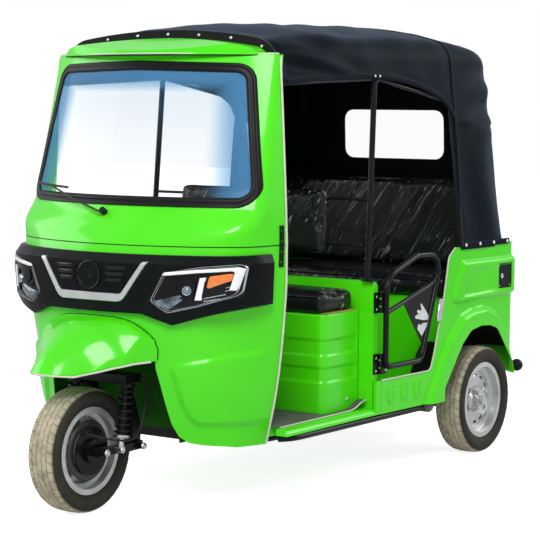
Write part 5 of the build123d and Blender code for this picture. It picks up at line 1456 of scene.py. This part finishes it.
def make_tyre(name, centre_x, centre_y, body, node_name):
    """A tyre turned about its axle.

    radius(s, turn) = profile(s) - groove depth: two wavy grooves round the tread and slanted cuts on
    each shoulder, whose places come from the distance across the tread and the turn.
    """
    half = resampled(np.array(TYRE_PROFILE, float), 3.2, False)
    line = np.concatenate([half[:0:-1] * (-1, 1), half])
    turns = np.arange(TYRE_STEPS) * 2 * pi / TYRE_STEPS
    across, radius = line[:, 0][None], line[:, 1][None]
    turn = turns[:, None]
    wave = 1.3 * np.sin(turn * TYRE_LUGS)
    groove = sum(smooth_step(1 - (np.abs(across - at - wave) - 1.2) / 1.6) for at in (-34, -12, 12, 34)) * 3
    crown = smooth_step((radius - 222) / 8)
    phase = (turn * TYRE_LUGS / (2 * pi) + np.abs(across) / 120 + 0.5 * (np.abs(across) > 34)) % 1.0
    slant = smooth_step(1 - (np.abs(phase - 0.5) - 0.035) / 0.06)
    shoulder = smooth_step((np.abs(across) - 13) / 2) * smooth_step((radius - 212) / 8)
    depth = np.maximum(groove * crown, slant * shoulder * np.where(np.abs(across) > 34, 2.8, 1.4))
    normal = np.gradient(line, axis=0)
    normal = np.stack([-normal[:, 1], normal[:, 0]], -1)
    normal /= np.linalg.norm(normal, axis=1)[:, None]
    normal *= np.sign(normal[:, 1] * (line[:, 1] - 190) + normal[:, 0] * line[:, 0] + 1e-9)[:, None]
    x = across - normal[:, 0][None] * depth
    r = radius - normal[:, 1][None] * depth
    grid = np.stack([centre_x + x, centre_y + r * np.sin(turn), TYRE_R + r * np.cos(turn)], -1)
    bore = np.linspace(BEAD_HALF, -BEAD_HALF, 6)[None, 1:-1]
    inner = np.stack(np.broadcast_arrays(centre_x + bore, centre_y + BEAD_R * np.sin(turn),
                                         TYRE_R + BEAD_R * np.cos(turn)), -1)
    grid = np.concatenate([grid, inner], 1)
    mesh = polygon_mesh(name, *surface(grid, close_rows=True, close_columns=True))
    # the pale dust mask is cut by up to 40% in the grooves, so they come out darker
    tread = smooth_step((radius - 222) / 9) * (1 - np.clip(depth / 3, 0, 1) * 0.4)
    wall = 0.05 * smooth_step((radius - 150) / 40)
    dust = np.concatenate([np.broadcast_to(np.maximum(tread, wall), depth.shape),
                           np.zeros((TYRE_STEPS, bore.size))], 1)
    set_mask(mesh, "dust", dust.ravel())
    outward(mesh)
    piece(name, mesh, DUSTY_TYRE, body, (node_name,), 50)


def on_line(start, way, heights, radii, sides=28):
    """A turned part about a line, from (height along it, radius) pairs."""
    return turned(start, way, list(zip(heights, radii)), sides)


def make_front_springs():
    """Each front shock: clevis and eye, damper tube, helical spring between two cups, and its cap."""
    foot, head = np.array([122, 88, 236.0]), np.array([122, 128, 500.0])
    way = (head - foot) / np.linalg.norm(head - foot)
    long = float(np.linalg.norm(head - foot))
    n, a, b = axes_of(way)
    metal, dark = [], []
    metal.append(turned(foot - (13, 0, 0), (1, 0, 0), [(0, 0), (0, 13), (26, 13), (26, 0)], 28))
    metal.append(turned(foot - (17, 0, 0), (1, 0, 0), [(0, 0), (0, 8), (34, 8), (34, 0)], 6))
    metal.append(on_line(foot, way, (8, 8, 40, 44, 44), (0, 12.5, 12.5, 10, 0)))
    metal.append(on_line(foot, way, (44, 44, 47, 55, 55), (0, 30, 32, 32, 0), 40))
    dark.append(on_line(foot, way, (long - 31, long - 31, long - 18, long - 17, long - 17),
                        (0, 33, 33, 31, 0), 40))
    metal.append(on_line(foot, way, (long - 17, long - 17, long - 1, long - 1), (0, 11, 11, 0)))
    dark.append(on_line(foot, way, (50, 50, 150, 152, 152), (0, 18, 18, 16, 0)))
    dark.append(on_line(foot, way, (150, 150, long - 26, long - 26), (0, 12, 12, 0)))
    low, high, coils = 59.0, long - 36, 7.2
    t = np.linspace(0, 1, 300)
    rise = low + (high - low) * (t + 0.03 * np.sin(2 * pi * t) * -1)
    turn = 2 * pi * coils * t
    path = foot + rise[:, None] * n + 26 * (np.cos(turn)[:, None] * a + np.sin(turn)[:, None] * b)
    solid_piece("front_shock_metal", both(metal), ZINC, "steering", ("front_shocks",))
    solid_piece("front_shock_tubes", both(dark), BLACK_STEEL, "steering")
    solid_piece("front_shock_springs", both([bar(path, 5.6, 10)]), BLACK_STEEL, "steering",
                angle=70)


# ------------------------------------------------------------------ small fittings
def make_fittings():
    """Bolts, rivets, snaps, hems and the door's catch."""
    fixed, moving = [], []
    for z in [z + dz for z in HINGE_ZS for dz in (-26, 26)]:
        moving.append(dome((597.5, 1220, z), (1, 0, 0), 6, 3))
        fixed += both([dome((590, 1157, z), (1, 0, 0), 5, 1.6)])
    solid_piece("hinge_bolts", fixed, ZINC, "body")
    solid_piece("door_bolts_left", moving, ZINC, "door_left")
    solid_piece("door_bolts_right", flipped(moving), ZINC, "door_right")

    rivets = []
    for x, z in ((0, 1803), (151, 1799), (304, 1786), (448, 1752)):
        for side in {x, -x}:
            rivets.append(dome((side, 533, z), (0, -1, 0), 6, 3.5))
    solid_piece("front_hoop_rivets", rivets, ZINC, "body")

    hem, strap, snaps, stitches = canopy_edge_lines()
    solid_piece("canopy_hem", both([bar(line, 13, 10, flat=0.22) for line in hem]) + [strap], VINYL, "body")
    solid_piece("canopy_snaps", both(snaps), PLATE_WHITE, "body")
    solid_piece("canopy_stitching", stitches, STITCH, "body")

    catch = [block_through([(1592, 622), (1632, 622), (1660, 714), (1612, 714)], "x", 618, 623),
             block_through([(1600, 640), (1618, 640), (1632, 694), (1616, 694)], "x", 622, 627)]
    solid_piece("door_catch", both(catch), ZINC, "body")

    pins = []
    for x in (-105, 105):
        for y, z in ((218, 232), (0, 236)):
            pins += hex_head((x + (26 if x > 0 else -26), y, z), (1 if x > 0 else -1, 0, 0), 19, 8)
    solid_piece("front_arm_nuts", pins, ZINC, "steering")


def side_of_canopy(y, z):
    """(x, y, z) on the canopy's left side, with its outward normal, at a y and a z below the shoulder."""
    points, normals = [], []
    for one_y, one_z in zip(y, z):
        row = table(HOOPS, np.array([one_y]))[0]
        line, normal = hoop_line(row, min(one_z, row[4]) - 40)
        at = [np.interp(-one_z, -line[:, 1], column) for column in (line[:, 0], normal[:, 0], normal[:, 1])]
        points.append((at[0], one_y, one_z))
        normals.append((at[1], 0, at[2]))
    return meet_body(np.array(points)), np.array(normals)


def canopy_edge_lines():
    """The hems' lines, the strap over the last bow, the snaps, and the stitches along the shoulders."""
    y = steps(560, 1790, 12)
    z = table(HEM, y)[:, 0] + 10
    hem, normal = side_of_canopy(y, z)
    hem = hem + normal * 1.5
    snaps = []
    lower = steps(1812, 2210, 10)
    low, facing = side_of_canopy(lower, np.full(len(lower), 932.0))
    low = low + facing * 1.5
    for at in (1830, 1950, 2070, 2190):
        k = int(np.abs(lower - at).argmin())
        snaps.append(dome(low[k] + facing[k] * 2.5, facing[k], 7.5, 3.5, 14))
    for at in (1168, 1206):
        k = int(np.abs(y - at).argmin())
        snaps.append(dome(hem[k] + normal[k] * 2.0, normal[k], 5.0, 3.0, 12))
    edge = []
    for one_y in steps(575, 1990, 11):
        row = table(HOOPS, np.array([one_y]))[0]
        line, way = hoop_line(row, row[4])
        x, z = line[SHOULDER] + way[SHOULDER] * 0.8
        edge.append((x, one_y, z))
    edge = np.array(edge)
    stitches = both([bar([a, a + (b - a) * 0.6], 0.9, 5) for a, b in zip(edge[:-1], edge[1:])])
    line, way = hoop_line(table(HOOPS, np.array([LAST_BOW]))[0], 930)
    seam = resampled(meet_body(at_y(unfolded(line) + unfolded(way) * 1.2, LAST_BOW)), 14, False)
    return (hem, low), bar(seam, 10, 8, flat=0.3), snaps, stitches


# ------------------------------------------------------------------ upper frame, doors, seat box, mat
DOOR_RING = [(1205, 465), (1205, 834), (1452, 910), (1657, 905), (1491, 465)]
DOOR_BENDS = [36, 90, 60, 75, 50]
DOOR_X = 606.0          # the ring's centre line
DOOR_MARKS = ([(1473, 715), (1507, 688), (1566, 630), (1500, 634), (1430, 648), (1446, 662), (1468, 656),
               (1445, 682),
               (1488, 676)], [(1496, 620), (1548, 622), (1493, 567), (1455, 601), (1466, 622), (1486, 613)])
BOX_PLAN = [(511, 1149), (511, 890), (-511, 890), (-511, 1149)]
BOX_BANDS = ((423, 490), (530, 602))


def post_at(z):
    """The centre of the left post at a height."""
    share = (z - 832) / (1640 - 832)
    return np.array([556 - 14 * share, 1137.5 + 59.5 * share, z])


def make_upper_frame():
    """Posts on foot plates, two ladder bars, two bows and the roof rails, all of round tube."""
    tubes = both([bar([post_at(822), post_at(1640)], 12, 20),
                  bar([(530, 521, 1608), (540, MIDDLE_BOW, 1642)], 8, 14),
                  bar([(540, MIDDLE_BOW, 1642), (558, LAST_BOW, 1548)], 8, 14),
                  brick(530, 582, 1127, 1168, 820.3, 823.3)])
    for z in (962, 1150):
        tubes.append(bar([post_at(z) * (-1, 1, 1), post_at(z)], 6, 12))
    for y, foot in ((MIDDLE_BOW, 1628), (LAST_BOW, 926)):
        line, normal = hoop_line(table(HOOPS, np.array([y]))[0], foot)
        tubes.append(bar(resampled(at_y(unfolded(line - normal * 15.5), y), 16, False), 11, 14))
    solid_piece("upper_frame_tubes", tubes, BLACK_STEEL, "body", ("upper_frame",))


def make_doors():
    """Each low door: a bent ring, a slanting stay, a gusset plate with a plain mark, and leaves on a pin."""
    ring = resampled(rounded(DOOR_RING, DOOR_BENDS, 10), 12)
    frame = [bar(at_x(ring, DOOR_X), 12, 18, closed=True)]
    stay = resampled(np.array([(1210, 690), (1530, 770), (1574, 786), (1606, 812)], float), 14, False)
    frame.append(bar(at_x(stay, DOOR_X), 10.5, 16))
    frame.append(block_through([(1338, 722), (1590, 785), (1604, 745), (1536, 556), (1500, 530)], "x", 604,
                               607))
    for z in HINGE_ZS:
        frame.append(brick(592, 597.5, 1191, 1228, z - 42, z + 42))
        frame += [bar([(590, 1190, z + a), (590, 1190, z + b)], 7, 16) for a, b in ((-42, -20), (20, 42))]
    marks = [block_through(rounded(shape, 4, 2), "x", 607.2, 608.2,
                           (1484, 660) if shape[0][1] > 700 else (1492, 600))
             for shape in DOOR_MARKS]
    for side, turned_over in (("left", list), ("right", flipped)):
        solid_piece("door_frame_" + side, turned_over(frame), BLACK_STEEL, "door_" + side,
                    ("door_" + side,))
        solid_piece("gusset_graphic_" + side, turned_over(marks), GRAPHIC_WHITE, "door_" + side)


def make_seat_box():
    """The seat's box: its plan has round front corners; two bands are pressed in round its front and sides.

    inset(y, z) = 6 * band(z) * run(y), where band is one between a band's edges and run falls to nought
    near the bulkhead.
    """
    plan = resampled(rounded(BOX_PLAN, [0, 38, 38, 0], 10), 9, False)
    ahead = np.gradient(plan, axis=0)
    ahead /= np.linalg.norm(ahead, axis=1)[:, None]
    facing = np.stack([-ahead[:, 1], ahead[:, 0]], -1)
    facing *= np.sign((facing * (plan - (0, 1100))).sum(1))[:, None]
    rows = []
    for z, lip in [(z, 0.0) for z in steps(301, 694, 5)] + [(698, 1.5), (700, 5.0)]:
        band = max(min(smooth_step((z - low) / 10), smooth_step((high - z) / 10)) for low, high in BOX_BANDS)
        inset = 6 * band * smooth_step((1134 - plan[:, 1]) / 12) + lip
        rows.append(at_z(plan - facing * inset[:, None], z))
    rows.append(np.broadcast_to(np.array([0.0, 1030, 700]), rows[0].shape))
    mesh = polygon_mesh("seat_box_panel", *surface(np.stack(rows)))
    outward(mesh)
    obj = piece("seat_box_panel", mesh, GREEN, "body", ("seat_box",), 40)
    thicken(obj, 1.5)
    bolt = [dome((511, 1063, 344), (1, 0, 0), 8, 4)]
    solid_piece("seat_box_bolts", both(bolt), ZINC, "body")


def make_floor_mat():
    """A ribbed mat in the front well and beside the seat's box, its rear corners curled up, with a pale edge.

    z(x, y) = 303 + 1.2 * rib(x + y / 2) + 32 * smooth((y - 1035) / 105).
    """
    parts = []
    for x, y in ((steps(-548, 548, 5), steps(524, 884, 9)), (steps(518, 550, 4), steps(884, 1140, 8)),
                 (steps(-550, -518, 4), steps(884, 1140, 8))):
        gx, gy = np.meshgrid(x, y)
        rib = np.abs(np.sin((gx + gy * 0.5) / 8.0)) ** 0.5
        z = 303 + 1.2 * rib + 32 * smooth_step((gy - 1035) / 105)
        parts.append(surface(np.stack([gx, gy, z], -1)))
    mesh = polygon_mesh("floor_mat", *merged(parts))
    obj = piece("floor_mat", mesh, MAT_RUBBER, "body", (), 50)
    thicken(obj, 2)
    edge = np.array([(550, 526, 303.5), (550, 880, 303.5), (550, 1035, 304), (551, 1070, 312),
                     (552, 1105, 327),
                     (553, 1140, 336)], float)
    solid_piece("floor_mat_edge", both([bar(edge, 2.8, 8)]), CREAM, "body")


def make_sills():
    """Rolled sills from the cowl back to the rear sides, and the round step tube below each."""
    roll = [(546, 300.4), (570, 300), (586, 295), (595, 285), (597.5, 275), (546, 275)]
    parts = [block_through(rounded(roll, [0, 10, 8, 6, 0, 0], 4), "y", 504, 1187),
             brick(583, 597.5, 1151, 1187, 275, 411)]
    solid_piece("sill_covers", both(parts), GREEN, "body", angle=50)
    route = resampled(np.array([(552, 512, 262), (572, 536, 262), (585, 566, 262), (590, 610, 262),
                                (590, 1526, 257)], float), 24, False)
    solid_piece("step_tubes", both([bar(route, 12.4, 16)]), BLACK_STEEL, "body")


def make_wheel_cover():
    """The front wheel's drum: a black dished plate with a ring of nuts on each side of the hub."""
    plate = turned((30, 0, TYRE_R), (1, 0, 0),
                   [(0, 0), (0, 112), (8, 116), (12, 112), (13, 90), (9, 84), (9, 40), (14, 34),
                    (14, 0)], 48)
    nuts = []
    for turn in np.arange(5) * 2 * pi / 5 + 0.3:
        nuts += hex_head((39, 62 * sin(turn), TYRE_R + 62 * cos(turn)), (1, 0, 0), 14, 8)
    solid_piece("front_drum_cover", both([plate]), BRAKE_LINING, "front_wheel")
    solid_piece("front_wheel_nuts", nuts + flipped(nuts), ZINC, "front_wheel")


def make_header_lip():
    """The drip lip along the header's lower edge: a pale bead over a dark one."""
    x = np.linspace(-538, 538, 61)
    y = 316 + 200 * (x / 534) ** 2
    for name, z, colour in (("header_lip", 1723.0, CREAM), ("header_lip_seal", 1717.5, RUBBER)):
        solid_piece(name, [bar(at_z(np.column_stack([x, y]), z), 2.8, 8)], colour, "body")


# ------------------------------------------------------------------ carried-over nodes' finishes
DRESSED = (
    (GREEN, "header floor_pan bulkhead rear_panel engine_door rear_seat_base"),
    (BLACK_STEEL, "canopy_trim wiper fork front_arms handlebar chassis_frame rear_axle hinge_leaves "
     "rear_bumper cowl_brackets"),
    (RIM_SILVER, "front_rim rear_rim_left rear_rim_right"), (BAND_BLACK, "fascia_band"),
    (LAMP_BLACK, "headlamps"), (SHADED_GREEN, "wheel_well"), (HOSE_RUBBER, "brake_hose"),
    (CAST, "engine_block"), (MUFFLER_STEEL, "muffler"), (PLATE_WHITE, "number_plate"),
    (PLASTIC, "filler_lid"), (LINER, "wheel_liners"), (RED_LENS, "tail_lamps"), )


# ------------------------------------------------------------------ stage, light and camera
def make_stage():
    """A pale floor, a world that is white to the eye and to metal and glass, and soft lamps."""
    floor_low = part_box("front_tyre")[0].z
    size = 30.0
    mesh = bpy.data.meshes.new("floor")
    mesh.from_pydata([(-size, -size, floor_low), (size, -size, floor_low), (size, size, floor_low),
                      (-size, size, floor_low)], [], [(0, 1, 2, 3)])
    floor = bpy.data.objects.new("floor", mesh)
    bpy.context.scene.collection.objects.link(floor)
    pale, tree, shader = new_material("pale_floor")
    give(shader, {"Roughness": 0.9, "Specular IOR Level": 0.1})
    cloud = noise(tree, object_space(tree), 1.5, 2.0)
    tree.links.new(blend_colour(tree, cloud, (0.80, 0.80, 0.80, 1), (0.77, 0.77, 0.77, 1)),
                   shader.inputs["Base Color"])
    glow = node(tree, "ShaderNodeEmission", {"Color": (1, 1, 1, 1), "Strength": 0.84})
    both_ways = node(tree, "ShaderNodeAddShader", {0: shader.outputs[0], 1: glow.outputs[0]})
    path = node(tree, "ShaderNodeLightPath").outputs
    eye = maths(tree, "MAXIMUM", path["Is Camera Ray"], path["Is Transmission Ray"])
    shown = node(tree, "ShaderNodeMixShader", {0: eye, 1: shader.outputs[0], 2: both_ways.outputs[0]})
    tree.links.new(shown.outputs[0], tree.nodes["Material Output"].inputs["Surface"])
    mesh.materials.append(pale)

    world = bpy.data.worlds.new("soft_white")
    bpy.context.scene.world = world
    world.use_nodes = True
    tree = world.node_tree
    shown = tree.nodes["Background"]
    give(shown, {"Color": (1, 1, 1, 1), "Strength": 1.0})
    lit = node(tree, "ShaderNodeBackground", {"Color": (0.94, 0.97, 1.0, 1.0), "Strength": 0.48})
    path = node(tree, "ShaderNodeLightPath").outputs
    eye = maths(tree, "MAXIMUM", path["Is Camera Ray"], path["Is Transmission Ray"])
    white = maths(tree, "MAXIMUM", eye, maths(tree, "MULTIPLY", path["Is Glossy Ray"], 0.6))
    mixed = node(tree, "ShaderNodeMixShader", {0: white, 1: lit.outputs[0], 2: shown.outputs[0]})
    tree.links.new(mixed.outputs[0], tree.nodes["World Output"].inputs["Surface"])

    for name, at, aim, size, power in (("key", (2.6, -4.2, 4.6), (0.0, -0.2, 0.8), 2.6, 250),
                                       ("fill", (-5.0, -2.5, 2.8), (0.0, 0.0, 0.9), 4.0, 110),
                                       ("rear", (3.5, 4.5, 3.6), (0.0, 0.5, 0.9), 3.5, 120)):
        light = bpy.data.lights.new(name, "AREA")
        light.shape, light.size, light.energy = "DISK", size, power
        lamp = bpy.data.objects.new(name, light)
        bpy.context.scene.collection.objects.link(lamp)
        lamp.location = at
        lamp.rotation_euler = (Vector(aim) - Vector(at)).to_track_quat("-Z", "Y").to_euler()


def make_camera():
    """The main view, as an eye's place, a heading, a dip and a small roll."""
    yaw, pitch, roll = radians(34.6311), radians(4.9969), radians(0.4251)
    ahead = Vector((-sin(yaw) * cos(pitch), cos(yaw) * cos(pitch), -sin(pitch)))
    right = ahead.cross(Vector((0, 0, 1))).normalized()
    up = right.cross(ahead)
    right, up = cos(roll) * right + sin(roll) * up, -sin(roll) * right + cos(roll) * up
    data = bpy.data.cameras.new("camera")
    data.lens, data.sensor_width = 127.485, 36
    camera = bpy.data.objects.new("camera", data)
    bpy.context.scene.collection.objects.link(camera)
    turn = Matrix((right, up, -ahead)).transposed().to_4x4()
    camera.matrix_world = Matrix.Translation((4.6195, -5.4419 + AXLE_Y, 1.5393)) @ turn
    bpy.context.scene.camera = camera


for one, names in DRESSED:
    for name in names.split():
        kept = bpy.data.objects[name].data.materials
        kept.clear()
        kept.append(one)
make_cowl()
make_windshield()
make_nose_details()
make_cowl_edging()
make_fender()
canopy = make_canopy()
make_rear_window()
make_sides()
make_seats()
for tyre, x, y, wheel in (("front_tyre", 0, 0, "front_wheel"),
                          ("rear_tyre_left", TRACK / 2, WHEELBASE, "rear_wheel_left"),
                          ("rear_tyre_right", -TRACK / 2, WHEELBASE, "rear_wheel_right")):
    make_tyre(tyre + "_treaded", x, y, wheel, tyre)
make_front_springs()
make_upper_frame()
make_doors()
make_seat_box()
make_floor_mat()
make_sills()
make_wheel_cover()
make_header_lip()
make_fittings()
make_stage()
make_camera()

view = bpy.context.scene.view_settings
view.view_transform = "Standard"
